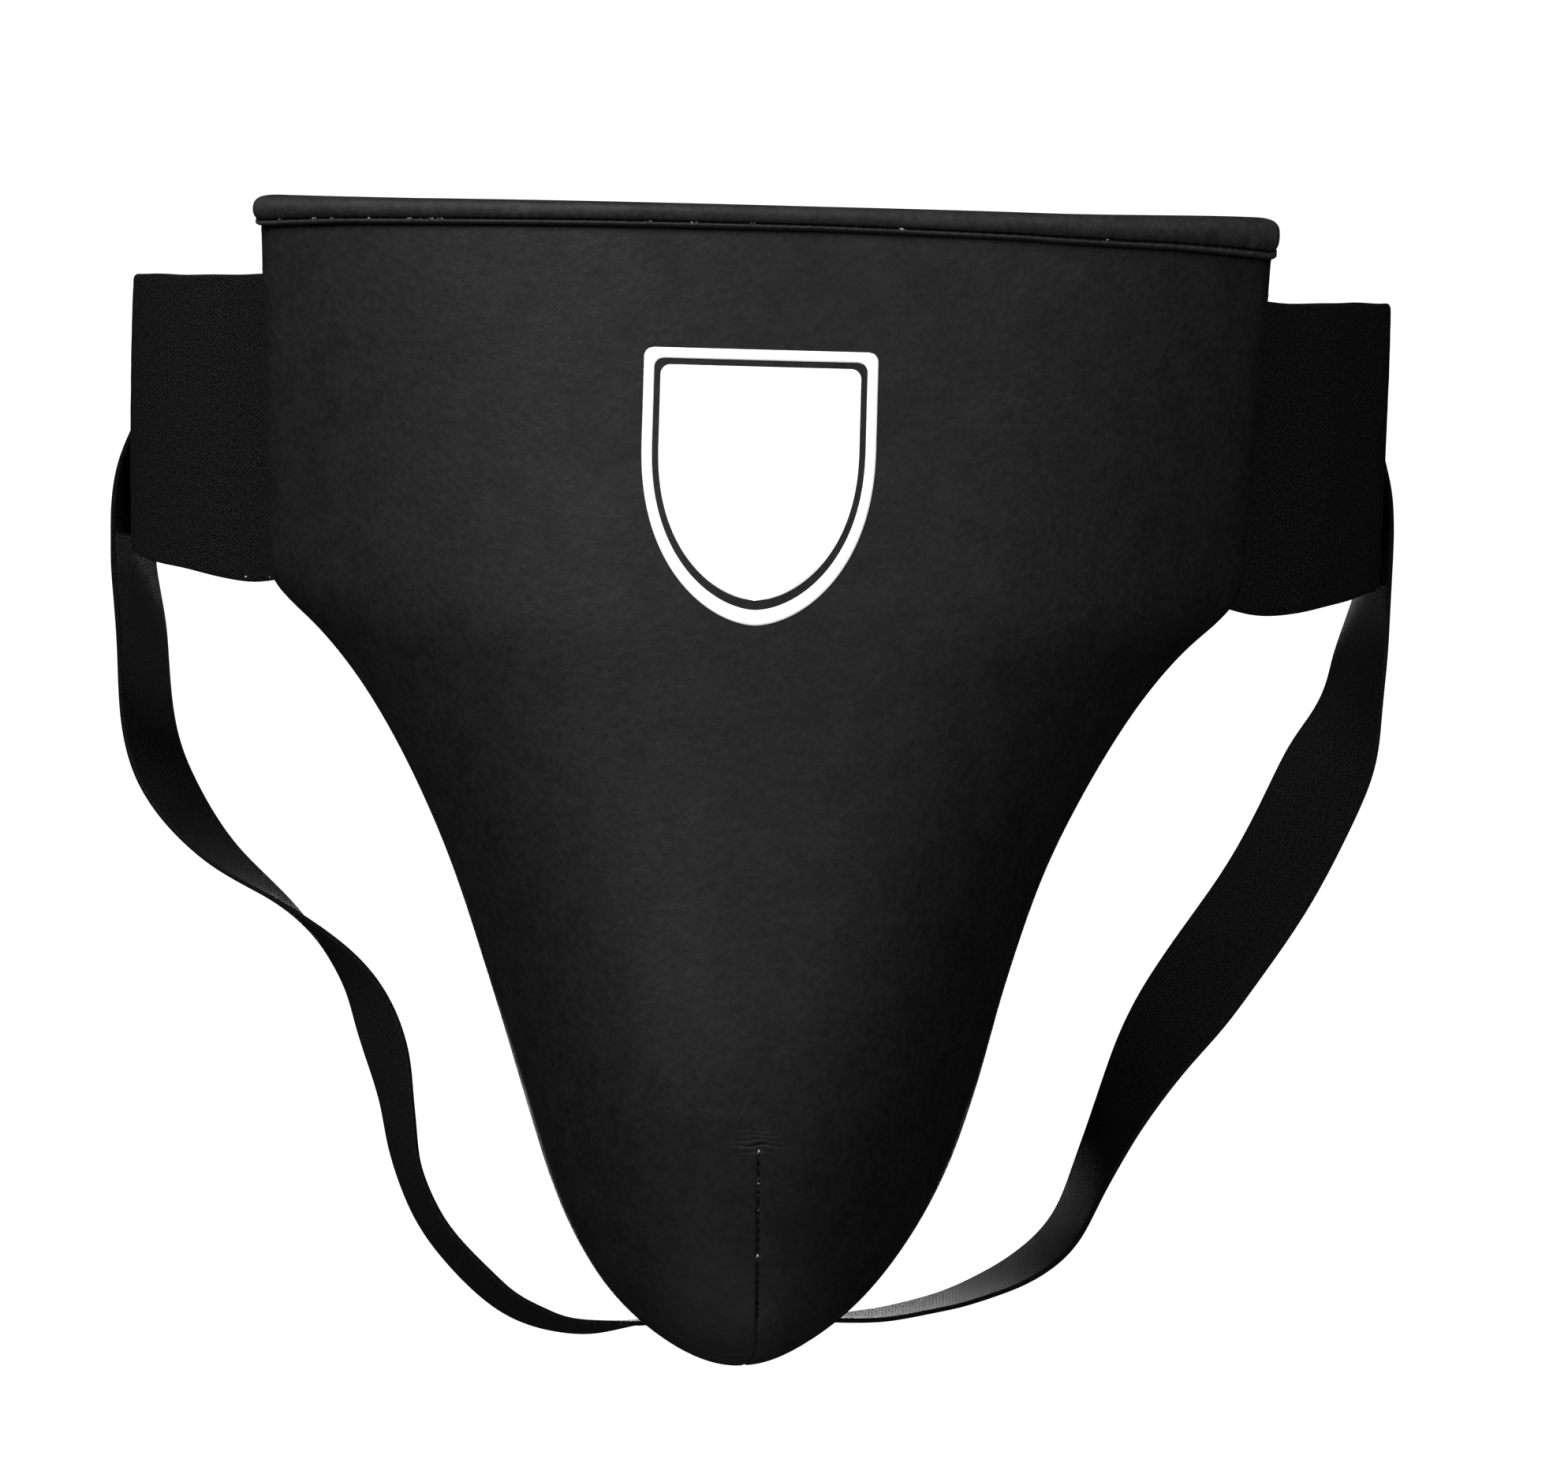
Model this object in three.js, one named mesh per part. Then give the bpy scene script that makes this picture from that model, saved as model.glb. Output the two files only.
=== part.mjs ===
// Groin protector: a padded shell with a hard cup inside, worn on an elastic waistband
// that closes at the back with hook and loop, and held down by two elastic leg straps.
// Millimetres, +Z up, -Y is the wearer's front and +X is right in a front view.
// The origin is the middle of the waist loop, half way up the waistband.
import * as THREE from "three";

// Webbing and elastic
const BAND_HEIGHT = 80;
const BAND_THICKNESS = 1.6;
const STRAP_WIDTH = 27;
const STRAP_THICKNESS = 2;
const CLEARANCE = 0.4; // between layers that are sewn together on the real thing
const TAPE_GAP = 0.3; // under flat patches and tapes
const PATCH_THICKNESS = 1.2;
const TAPE_THICKNESS = 0.8;
const PRINT_THICKNESS = 0.4;

// Depth of each layer of the shell under the face of its cover
const COVER_DEPTH = [0, 1.2];
const FOAM_DEPTH = [1.8, 7.6];
const CORE_DEPTH = [8.1, 10.4];
const CUSHION_DEPTH = [8.5, 10.2];
const LINING_DEPTH = [10.9, 11.9];
const BINDING_DEPTH = [1.8, 11.9];
const LABEL_DEPTH = [12.3, 12.7];
const BAND_DEPTH = 13.5;
const TIP_THICKNESS = 0.72; // the shell thins to this share at the crotch end
const THINNING_START = 0.78;

// The shell from the waist down to the crotch. Each station is one section across it:
// y and z on the centre line, then x, y and z at the edge, then how far the section
// wraps round at the edge, in degrees.
const SHELL_STATIONS = [
  [-97, 61, 134, -57, 61, 34],
  [-101, 34, 133.5, -56, 34, 37],
  [-106, 4, 132.5, -55, 4, 40],
  [-112, -24, 131.3, -55, -22, 43],
  [-117, -46, 129.5, -55, -40, 45],
  [-121, -64, 116, -57, -53, 48],
  [-127, -88, 101, -62, -72, 52],
  [-136, -118, 82.5, -69, -105, 60],
  [-145, -146, 69.5, -74, -139, 70],
  [-150, -172, 60.5, -76, -168, 80],
  [-148, -198, 51, -76, -195, 86],
  [-134, -221, 39, -75, -215, 88],
  [-108, -236, 26, -73, -229, 80],
  [-79, -245, 16, -70, -238, 60],
];
const SHELL_COLUMNS = 12;
const SHELL_ROWS = 16;
const LAYER_TOP = 0.3; // the layers start this many rows down, inside the top roll
const EDGE_INSET = 0.27; // and this many columns in, behind the edge binding
const CUP_REGION = { left: 2.65, right: 9.35, top: 7.65, bottom: 14.3 };
const RIM_WIDTH = 0.6; // of the cushion round the cup, in columns and rows
const LABEL_REGION = [5.3, 6.7, 1.2, 2.4]; // left, right, top and bottom of the care label
const SEAM = 0.04; // between pieces side by side in one layer, in columns and rows

// The roll along the top edge. Sections of its skin and of its core: depth into the
// shell, height above the shell's top.
const ROLL_SKIN = [
  [-1.6, -8],
  [-2.2, -4],
  [-1.0, -1.2],
  [1.8, 0.2],
  [9.6, 0.2],
  [12.9, -1.2],
  [14.6, -4],
  [14.2, -8],
];
const ROLL_CORE = [
  [1.0, -5.6],
  [0.2, -3.9],
  [0.9, -2.3],
  [2.4, -1.6],
  [9.0, -1.6],
  [10.5, -2.3],
  [11.2, -3.9],
  [10.4, -5.6],
];
const ROLL_SKIN_THICKNESS = 1.2;
const ROLL_OVERHANG = 0.01; // past each side, as a share of the shell's half width
const ROLL_SECTIONS = 16;

// Plan of the waistband on the right, from the shell's edge to the back closure
const SIDE_PATH = [
  [140, -31.5],
  [157, -16],
  [171, -1],
  [180, 12],
  [184.5, 24],
  [185.5, 35],
  [181, 47],
  [171, 58],
];
const REAR_PATH = [
  [171, 58],
  [155, 69.5],
  [132, 80],
  [105, 87.5],
  [80, 91.5],
  [60, 92],
];
const PATH_STEPS = 10; // columns of band along each of these paths
const WING_COLUMNS = [1.25, 1, 0.5, 0]; // the band inside the shell: shell columns from the edge
const ANCHOR_COLUMNS = 3; // of those, how many the sewn patch covers
const HEIGHT_SHARES = [1, 0.5, 0, -0.5, -1]; // of the half height, down each band column
const HINGE_GAP = 0.2; // each side of a hinge line
const REAR_Y = 92;
const OVER_FLAP_RAISE = 5; // the right flap lies this much further out
const UNDER_FLAP_STRAIGHT = [40, 18, -5, -25, -45]; // mirrored: the left flap passes the middle
const OVER_FLAP_STRAIGHT = [45, 28, 12, -5];
const LOOP_PATCH = { first: 8, last: 13, halfHeight: 30 }; // columns of the left flap
const TAB_HALF_HEIGHT = 28;
const TAB_OUTLINE = [
  [-5, 28],
  [-22, 28],
  [-40, 28],
  [-58, 28],
  [-68, 26.5],
  [-74, 22],
  [-76.5, 15],
];
const HOOK_PATCH = { first: 1, last: 5, margin: 3 }; // outline places and its border
const PULL_TAPE_FIRST = 4;

// Centre line of each free leg strap: x, z and the turn of the webbing in degrees,
// where 0 faces the front. Each strap lies in one upright plane, between its two ends.
const RIGHT_STRAP = [
  [181, -44, -72],
  [179.5, -60, -70],
  [175, -78, -57],
  [166.5, -100, -16],
  [152, -128, -10],
  [133, -154, -20],
  [119, -173, -46],
  [109, -191, -66],
  [101, -208, -76],
  [93, -225, -82],
  [81, -234, -88],
  [64, -239.5, -91],
  [47, -241, -96],
  [31, -241.5, -102],
];
const LEFT_STRAP = [
  [-186, -44, 74],
  [-184, -64, 72],
  [-180.5, -92, 68],
  [-173, -110.5, 71],
  [-157.5, -127.5, 85],
  [-132.5, -143, 104],
  [-114, -159, 122],
  [-105, -176, 128],
  [-100.5, -194, 119],
  [-96, -211.5, 116],
  [-85, -228.5, 120],
  [-66, -243, 124],
  [-48, -247, 120],
  [-31, -244.5, 110],
];
const STRAP_PLANE = { x: 184, y: 32, slope: 0.524 };
const STRAP_STEPS = 26;
const UPPER_END = { top: -2, bottom: -39, first: 5, last: 8 }; // columns of the side path
const LOWER_END = { inner: 6, outer: 20, front: -67, back: -41, z: -241.4, slope: -0.32 };
const CROTCH_TAB = { halfWidth: 21, thickness: 2, front: -67.5, back: -39 };

// Emblem: half widths of a plain shield from its top row to its point, and its height
const SHIELD_HALF_WIDTHS = [27, 28, 28, 27.5, 25.5, 21, 13, 2];
const SHIELD_TOP = 25;
const SHIELD_BOTTOM = -43;
const SHIELD_SHARES = [-1, -0.5, 0, 0.5, 1]; // of the half width, along each row

const COLOURS = {
  cover: { color: 0x2b2b2c, roughness: 0.5 },
  roll: { color: 0x232324, roughness: 0.45 },
  foam: { color: 0x3a3a3c, roughness: 0.9 },
  cup: { color: 0xd8d8d2, roughness: 0.4 },
  rubber: { color: 0x1c1c1d, roughness: 0.7 },
  lining: { color: 0x1a1a1b, roughness: 0.85 },
  elastic: { color: 0x141415, roughness: 0.9 },
  hook: { color: 0x101011, roughness: 0.95 },
  print: { color: 0xf6f6f4, roughness: 0.5 },
  label: { color: 0xe6e6e2, roughness: 0.8 },
};

const protector = new THREE.Group();

function addMesh(name, geometry, look) {
  const material = new THREE.MeshStandardMaterial({ ...COLOURS[look], metalness: 0 });
  const mesh = new THREE.Mesh(geometry, material);
  mesh.name = name;
  protector.add(mesh);
}

// ---- solids from grids of points ----

// A closed geometry from a list of points and triangles, its faces turned outwards.
function closedGeometry(points, triangles) {
  let volume = 0;
  for (const [a, b, c] of triangles) {
    volume += points[a].dot(new THREE.Vector3().crossVectors(points[b], points[c]));
  }
  const index = triangles.flatMap(([a, b, c]) => (volume > 0 ? [a, b, c] : [a, c, b]));
  const geometry = new THREE.BufferGeometry().setFromPoints(points);
  geometry.setIndex(index);
  return geometry;
}

// A sheet is a grid of rows of {point, normal}. The slab fills it from one offset
// along the normals to another. A ring's last row repeats its first, and has no end walls.
function slab(sheet, [near, far], ring = false) {
  const rows = sheet.length;
  const columns = sheet[0].length;
  const offsetPoint = ({ point, normal }, offset) => point.clone().addScaledVector(normal, offset);
  const points = [near, far].flatMap((offset) =>
    sheet.flatMap((row) => row.map((cell) => offsetPoint(cell, offset))),
  );
  const at = (side, j, i) => (side * rows + j) * columns + i;
  const triangles = [];
  const quad = (a, b, c, d) => triangles.push([a, b, c], [a, c, d]);
  for (let j = 0; j < rows - 1; j++) {
    for (let i = 0; i < columns - 1; i++) {
      quad(at(0, j, i), at(0, j, i + 1), at(0, j + 1, i + 1), at(0, j + 1, i));
      quad(at(1, j, i), at(1, j + 1, i), at(1, j + 1, i + 1), at(1, j, i + 1));
    }
    const last = columns - 1;
    quad(at(0, j, 0), at(0, j + 1, 0), at(1, j + 1, 0), at(1, j, 0));
    quad(at(0, j, last), at(1, j, last), at(1, j + 1, last), at(0, j + 1, last));
  }
  for (let i = 0; i < columns - 1 && !ring; i++) {
    const last = rows - 1;
    quad(at(0, 0, i), at(1, 0, i), at(1, 0, i + 1), at(0, 0, i + 1));
    quad(at(0, last, i), at(0, last, i + 1), at(1, last, i + 1), at(1, last, i));
  }
  return closedGeometry(points, triangles);
}

// A solid swept through convex loops of points, with flat ends.
function sweep(loops) {
  const sides = loops[0].length;
  const triangles = [];
  for (let k = 0; k < loops.length - 1; k++) {
    for (let i = 0; i < sides; i++) {
      const a = k * sides + i;
      const b = k * sides + ((i + 1) % sides);
      triangles.push([a, b, b + sides], [a, b + sides, a + sides]);
    }
  }
  const end = (loops.length - 1) * sides;
  for (let i = 1; i < sides - 1; i++) {
    triangles.push([0, i + 1, i], [end, end + i, end + i + 1]);
  }
  return closedGeometry(loops.flat(), triangles);
}

// Adds to a grid of points the normals of its surface, turned by sign.
function sheetFrom(grid, sign) {
  const clamp = (value, count) => Math.min(Math.max(value, 0), count - 1);
  return grid.map((row, j) =>
    row.map((point, i) => {
      const across = row[clamp(i + 1, row.length)].clone().sub(row[clamp(i - 1, row.length)]);
      const below = grid[clamp(j + 1, grid.length)][i];
      const along = below.clone().sub(grid[clamp(j - 1, grid.length)][i]);
      const normal = new THREE.Vector3().crossVectors(across, along).normalize();
      return { point, normal: normal.multiplyScalar(sign) };
    }),
  );
}

// The start, the whole numbers between, and the end.
function steps(start, end) {
  const list = [start];
  for (let k = Math.floor(start) + 1; k < end; k++) list.push(k);
  return [...list, end];
}

// ---- the shell's surface ----

const centreCurve = new THREE.CatmullRomCurve3(
  SHELL_STATIONS.map(([y, z, , , , wrap]) => new THREE.Vector3(wrap, y, z)),
  false,
  "catmullrom",
);
const edgeCurve = new THREE.CatmullRomCurve3(
  SHELL_STATIONS.map(([, , x, y, z]) => new THREE.Vector3(x, y, z)),
  false,
  "catmullrom",
);

// u runs from -1 at the left edge to 1 at the right, v from 0 at the top to 1.
function shellPoint(u, v) {
  const centre = centreCurve.getPoint(v);
  const edge = edgeCurve.getPoint(v);
  const wrap = THREE.MathUtils.degToRad(centre.x);
  const across = Math.sin(wrap * u) / Math.sin(wrap);
  const back = (1 - Math.cos(wrap * u)) / (1 - Math.cos(wrap));
  return new THREE.Vector3(
    edge.x * across,
    centre.y + (edge.y - centre.y) * back,
    centre.z + (edge.z - centre.z) * back,
  );
}

// The unit normal into the shell, towards the wearer.
function shellNormal(u, v) {
  const h = 1e-3;
  const low = Math.max(v - h, 0);
  const high = Math.min(v + h, 1);
  const across = shellPoint(u + h, v).sub(shellPoint(u - h, v));
  const down = shellPoint(u, high).sub(shellPoint(u, low));
  return across.cross(down).normalize();
}

// How much of its full thickness the shell has at v.
function thicknessAt(v) {
  const t = THREE.MathUtils.smoothstep(v, THINNING_START, 1);
  return 1 - (1 - TIP_THICKNESS) * t;
}

// A point of the shell's faceted surface and its normal, at a whole or part column and row.
// Part columns and rows lie on the facets, so that stacked layers stay parallel.
function shellCell(column, row) {
  const corner = (i, j) => {
    const u = (2 * i) / SHELL_COLUMNS - 1;
    const v = j / SHELL_ROWS;
    const normal = shellNormal(u, v).multiplyScalar(thicknessAt(v));
    return { point: shellPoint(u, v), normal };
  };
  const i = Math.min(Math.floor(column), SHELL_COLUMNS - 1);
  const j = Math.min(Math.floor(row), SHELL_ROWS - 1);
  const blend = (key) => {
    const upper = corner(i, j)[key].lerp(corner(i + 1, j)[key], column - i);
    const lower = corner(i, j + 1)[key].lerp(corner(i + 1, j + 1)[key], column - i);
    return upper.lerp(lower, row - j);
  };
  return { point: blend("point"), normal: blend("normal") };
}

const shellSheet = (columns, rows) =>
  rows.map((row) => columns.map((column) => shellCell(column, row)));

const shellLayer = (left, right, top, bottom, depth) =>
  slab(shellSheet(steps(left, right), steps(top, bottom)), depth);

function addShell() {
  const right = SHELL_COLUMNS - EDGE_INSET;
  const full = [EDGE_INSET, right, LAYER_TOP, SHELL_ROWS];
  addMesh("outer_cover", shellLayer(0, SHELL_COLUMNS, LAYER_TOP, SHELL_ROWS, COVER_DEPTH), "cover");
  addMesh("foam_shell", shellLayer(...full, FOAM_DEPTH), "foam");
  addMesh("inner_lining", shellLayer(...full, LINING_DEPTH), "lining");
  const inner = EDGE_INSET - SEAM;
  const bindings = { left: [0, inner], right: [SHELL_COLUMNS - inner, SHELL_COLUMNS] };
  for (const [side, columns] of Object.entries(bindings)) {
    const binding = shellLayer(...columns, LAYER_TOP, SHELL_ROWS, BINDING_DEPTH);
    addMesh("edge_binding_" + side, binding, "roll");
  }
}

// Points round a region of the shell, in columns and rows, stopping at each whole one.
function ringPath({ left, right, top, bottom }, margin) {
  const columns = steps(left - margin, right + margin);
  const rows = steps(top - margin, bottom + margin);
  return [
    ...columns.slice(0, -1).map((column) => [column, top - margin]),
    ...rows.slice(0, -1).map((row) => [right + margin, row]),
    ...columns.slice(1).reverse().map((column) => [column, bottom + margin]),
    ...rows.slice(1).reverse().map((row) => [left - margin, row]),
  ];
}

// The hard cup, the rubber cushion that frames it, and the foam pad above it share a layer.
function addCore() {
  const { left, right, top, bottom } = CUP_REGION;
  addMesh("cup_insert", shellLayer(left, right, top, bottom, CORE_DEPTH), "cup");
  const inner = ringPath(CUP_REGION, SEAM);
  const outer = ringPath(CUP_REGION, RIM_WIDTH);
  const ring = inner.map((place, k) => [shellCell(...place), shellCell(...outer[k])]);
  addMesh("cup_rim_cushion", slab([...ring, ring[0]], CUSHION_DEPTH, true), "rubber");
  const padBottom = top - RIM_WIDTH - SEAM;
  const pad = shellLayer(EDGE_INSET, SHELL_COLUMNS - EDGE_INSET, LAYER_TOP, padBottom, CORE_DEPTH);
  addMesh("abdominal_pad", pad, "foam");
}

// ---- the roll and the emblem ----

function rollPoint(u, depth, height) {
  const base = shellPoint(u, 0);
  const inward = shellNormal(u, 0);
  const down = shellPoint(u, 1e-3).sub(base).normalize();
  return base.addScaledVector(inward, depth).addScaledVector(down, -height);
}

function addTopRoll() {
  const reach = 1 + ROLL_OVERHANG;
  const places = Array.from(
    { length: ROLL_SECTIONS + 1 },
    (_, k) => -reach + (2 * reach * k) / ROLL_SECTIONS,
  );
  const grid = places.map((u) => ROLL_SKIN.map(([depth, height]) => rollPoint(u, depth, height)));
  addMesh("top_roll_cover", slab(sheetFrom(grid, -1), [-ROLL_SKIN_THICKNESS, 0]), "roll");
  const loops = places.map((u) => ROLL_CORE.map(([depth, height]) => rollPoint(u, depth, height)));
  addMesh("top_roll_core", sweep(loops), "foam");
}

function addEmblem() {
  const count = SHIELD_HALF_WIDTHS.length;
  const sheet = SHIELD_HALF_WIDTHS.map((halfWidth, k) => {
    const z = SHIELD_TOP + ((SHIELD_BOTTOM - SHIELD_TOP) * k) / (count - 1);
    const v = rowAtHeight(0, z);
    return SHIELD_SHARES.map((share) => {
      const u = columnAtWidth(halfWidth * share, v);
      return { point: shellPoint(u, v), normal: shellNormal(u, v) };
    });
  });
  addMesh("emblem_print", slab(sheet, [-TAPE_GAP - PRINT_THICKNESS, -TAPE_GAP]), "print");
}

// The v at which column u of the shell crosses height z.
function rowAtHeight(u, z) {
  let low = 0;
  let high = 1;
  for (let k = 0; k < 40; k++) {
    const middle = (low + high) / 2;
    if (shellPoint(u, middle).z > z) low = middle;
    else high = middle;
  }
  return low;
}

// The u at which row v of the shell is x from the centre line.
function columnAtWidth(x, v) {
  const wrap = THREE.MathUtils.degToRad(centreCurve.getPoint(v).x);
  return Math.asin((x / edgeCurve.getPoint(v).x) * Math.sin(wrap)) / wrap;
}

// ---- the waistband ----

// Evenly spaced points along a plan path.
function planPoints(path) {
  const curve = new THREE.CatmullRomCurve3(path.map(([x, y]) => new THREE.Vector3(x, y, 0)));
  return Array.from({ length: PATH_STEPS + 1 }, (_, k) => curve.getPointAt(k / PATH_STEPS));
}

const straightPoints = (list, y) => list.map((x) => new THREE.Vector3(x, y, 0));

// Columns of the band sewn inside the shell's wing, which follow the lining.
function wingColumns(side) {
  return WING_COLUMNS.map((fromEdge) => {
    const u = side * (1 - (2 * fromEdge) / SHELL_COLUMNS);
    return HEIGHT_SHARES.map((share) => {
      const v = rowAtHeight(u, (share * BAND_HEIGHT) / 2);
      return shellPoint(u, v).addScaledVector(shellNormal(u, v), BAND_DEPTH);
    });
  });
}

// Upright columns of band at plan points, each with its own half height.
function uprightColumns(plan, halfHeightAt) {
  return plan.map(({ x, y }) =>
    HEIGHT_SHARES.map((share) => new THREE.Vector3(x, y, share * halfHeightAt(x))),
  );
}

const mirrored = (plan, side) => plan.map(({ x, y }) => new THREE.Vector3(side * x, y, 0));

// Moves the end of a plan path back along itself, to leave room at a hinge.
function trimmed(plan, atStart, atEnd) {
  const list = plan.map((point) => point.clone());
  const pull = (end, next, by) => end.add(next.clone().sub(end).setLength(by));
  if (atStart) pull(list[0], list[1], atStart);
  if (atEnd) pull(list[list.length - 1], list[list.length - 2], atEnd);
  return list;
}

const fullHeight = () => BAND_HEIGHT / 2;
const halfBand = BAND_THICKNESS / 2;
const sidePlan = planPoints(SIDE_PATH);

function sideBandSheet(side) {
  const plan = mirrored(trimmed(sidePlan, 0, HINGE_GAP), side);
  return sheetFrom([...wingColumns(side), ...uprightColumns(plan, fullHeight)], side);
}

function addSideBands() {
  for (const [name, side] of [["left", -1], ["right", 1]]) {
    const sheet = sideBandSheet(side);
    addMesh("side_band_" + name, slab(sheet, [-halfBand, halfBand]), "elastic");
    const patch = sheet.slice(0, ANCHOR_COLUMNS);
    const inside = -halfBand - TAPE_GAP;
    addMesh("band_anchor_patch_" + name, slab(patch, [inside - PATCH_THICKNESS, inside]), "cover");
  }
}

// The end of each leg strap, sewn flat on the outside of the band behind the fold.
function addStrapUpperEnds() {
  for (const [name, side] of [["left", -1], ["right", 1]]) {
    const plan = mirrored(sidePlan.slice(UPPER_END.first, UPPER_END.last + 1), side);
    const heights = [UPPER_END.top, UPPER_END.bottom];
    const grid = plan.map(({ x, y }) => heights.map((z) => new THREE.Vector3(x, y, z)));
    const outside = halfBand + TAPE_GAP;
    const end = slab(sheetFrom(grid, side), [outside, outside + STRAP_THICKNESS]);
    addMesh("strap_upper_end_" + name, end, "elastic");
  }
}

// The left flap goes under the closure and carries the loop patch on its outer face.
function addLeftFlap() {
  const whole = [...planPoints(REAR_PATH), ...straightPoints(UNDER_FLAP_STRAIGHT, REAR_Y)];
  const plan = mirrored(trimmed(whole, HINGE_GAP, 0), -1);
  const sheet = sheetFrom(uprightColumns(plan, fullHeight), -1);
  addMesh("rear_band_left", slab(sheet, [-halfBand, halfBand]), "elastic");
  const { first, last, halfHeight } = LOOP_PATCH;
  const patchSheet = sheetFrom(uprightColumns(plan.slice(first, last + 1), () => halfHeight), -1);
  const near = halfBand + TAPE_GAP;
  addMesh("loop_patch", slab(patchSheet, [near, near + PATCH_THICKNESS]), "hook");
}

const overFlapY = REAR_Y + OVER_FLAP_RAISE;

// The right flap passes outside the left one and narrows to the height of its tab.
function addRightFlap() {
  const last = REAR_PATH.length - 1;
  const raised = REAR_PATH.map(([x, y], k) => [x, y + (OVER_FLAP_RAISE * k) / last]);
  const whole = [...planPoints(raised), ...straightPoints(OVER_FLAP_STRAIGHT, overFlapY)];
  const plan = trimmed(whole, HINGE_GAP, HINGE_GAP);
  const [taperStart, , , taperEnd] = OVER_FLAP_STRAIGHT;
  const taper = (x) => {
    const share = THREE.MathUtils.smoothstep(x, taperEnd, taperStart);
    return THREE.MathUtils.lerp(TAB_HALF_HEIGHT, BAND_HEIGHT / 2, share);
  };
  const sheet = sheetFrom(uprightColumns(plan, taper), 1);
  addMesh("rear_band_right", slab(sheet, [-halfBand, halfBand]), "elastic");
}

function addClosureTab() {
  const outline = TAB_OUTLINE.map(([x, height]) => [x, height]);
  outline[0][0] -= HINGE_GAP;
  const sheetOf = (list) =>
    sheetFrom(
      list.map(([x, height]) =>
        HEIGHT_SHARES.map((share) => new THREE.Vector3(x, overFlapY, share * height)),
      ),
      1,
    );
  addMesh("closure_tab", slab(sheetOf(outline), [-halfBand, halfBand]), "elastic");
  const { first, last, margin } = HOOK_PATCH;
  const hooks = outline.slice(first, last + 1).map(([x, height]) => [x, height - margin]);
  const inside = -halfBand - TAPE_GAP;
  addMesh("hook_patch", slab(sheetOf(hooks), [inside - PATCH_THICKNESS, inside]), "hook");
  const tape = sheetOf(outline.slice(PULL_TAPE_FIRST));
  const outside = halfBand + TAPE_GAP;
  addMesh("tab_pull_tape", slab(tape, [outside, outside + TAPE_THICKNESS]), "cover");
}

// ---- the leg straps ----

const strapDepth = (x) => STRAP_PLANE.y - (STRAP_PLANE.x - Math.abs(x)) * STRAP_PLANE.slope;

function strapSheet(route) {
  const points = route.map(([x, z]) => new THREE.Vector3(x, strapDepth(x), z));
  const turns = route.map(([, , turn]) => new THREE.Vector3(turn, 0, 0));
  const curve = new THREE.CatmullRomCurve3(points, false, "catmullrom");
  const turnCurve = new THREE.CatmullRomCurve3(turns, false, "catmullrom");
  return Array.from({ length: STRAP_STEPS + 1 }, (_, k) => {
    const t = k / STRAP_STEPS;
    const centre = curve.getPoint(t);
    const along = curve.getTangent(t);
    const level = new THREE.Vector3(-along.z, 0, along.x).normalize();
    const width = level.applyAxisAngle(along, THREE.MathUtils.degToRad(-turnCurve.getPoint(t).x));
    const normal = new THREE.Vector3().crossVectors(along, width);
    return [-0.5, 0, 0.5].map((share) => ({
      point: centre.clone().addScaledVector(width, share * STRAP_WIDTH),
      normal,
    }));
  });
}

function addLegStraps() {
  const thickness = [-STRAP_THICKNESS / 2, STRAP_THICKNESS / 2];
  addMesh("leg_strap_left_webbing", slab(strapSheet(LEFT_STRAP), thickness), "elastic");
  addMesh("leg_strap_right_webbing", slab(strapSheet(RIGHT_STRAP), thickness), "elastic");
}

// A strip across the crotch end that slopes with the shell's underside.
function crotchStrip([left, right], [front, back], z, thickness) {
  const middle = (LOWER_END.front + LOWER_END.back) / 2;
  const grid = [front, (front + back) / 2, back].map((y) =>
    [left, (left + right) / 2, right].map(
      (x) => new THREE.Vector3(x, y, z + (y - middle) * LOWER_END.slope),
    ),
  );
  return slab(sheetFrom(grid, 1), [-thickness / 2, thickness / 2]);
}

// Both straps end on a tab behind the tip of the shell.
function addCrotchEnd() {
  const { halfWidth, thickness, front, back } = CROTCH_TAB;
  const tabZ = LOWER_END.z - (thickness + STRAP_THICKNESS) / 2 - CLEARANCE;
  addMesh("crotch_tab", crotchStrip([-halfWidth, halfWidth], [front, back], tabZ, thickness), "cover");
  for (const [name, side] of [["left", -1], ["right", 1]]) {
    const span = [side * LOWER_END.inner, side * LOWER_END.outer];
    const depths = [LOWER_END.front, LOWER_END.back];
    const strip = crotchStrip(span, depths, LOWER_END.z, STRAP_THICKNESS);
    addMesh("strap_lower_end_" + name, strip, "elastic");
  }
}

addShell();
addCore();
addTopRoll();
addEmblem();
addMesh("care_label", shellLayer(...LABEL_REGION, LABEL_DEPTH), "label");
addSideBands();
addStrapUpperEnds();
addLeftFlap();
addRightFlap();
addClosureTab();
addLegStraps();
addCrotchEnd();

export default protector;
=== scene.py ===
# Groin protector: the finished looks of the padded shell, its elastic waistband and leg straps.
# Shapes are worked out in millimetres, in the part's own frame, and made in metres.
import math
import bpy
import numpy as np
from mathutils import Matrix, Vector


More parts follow.
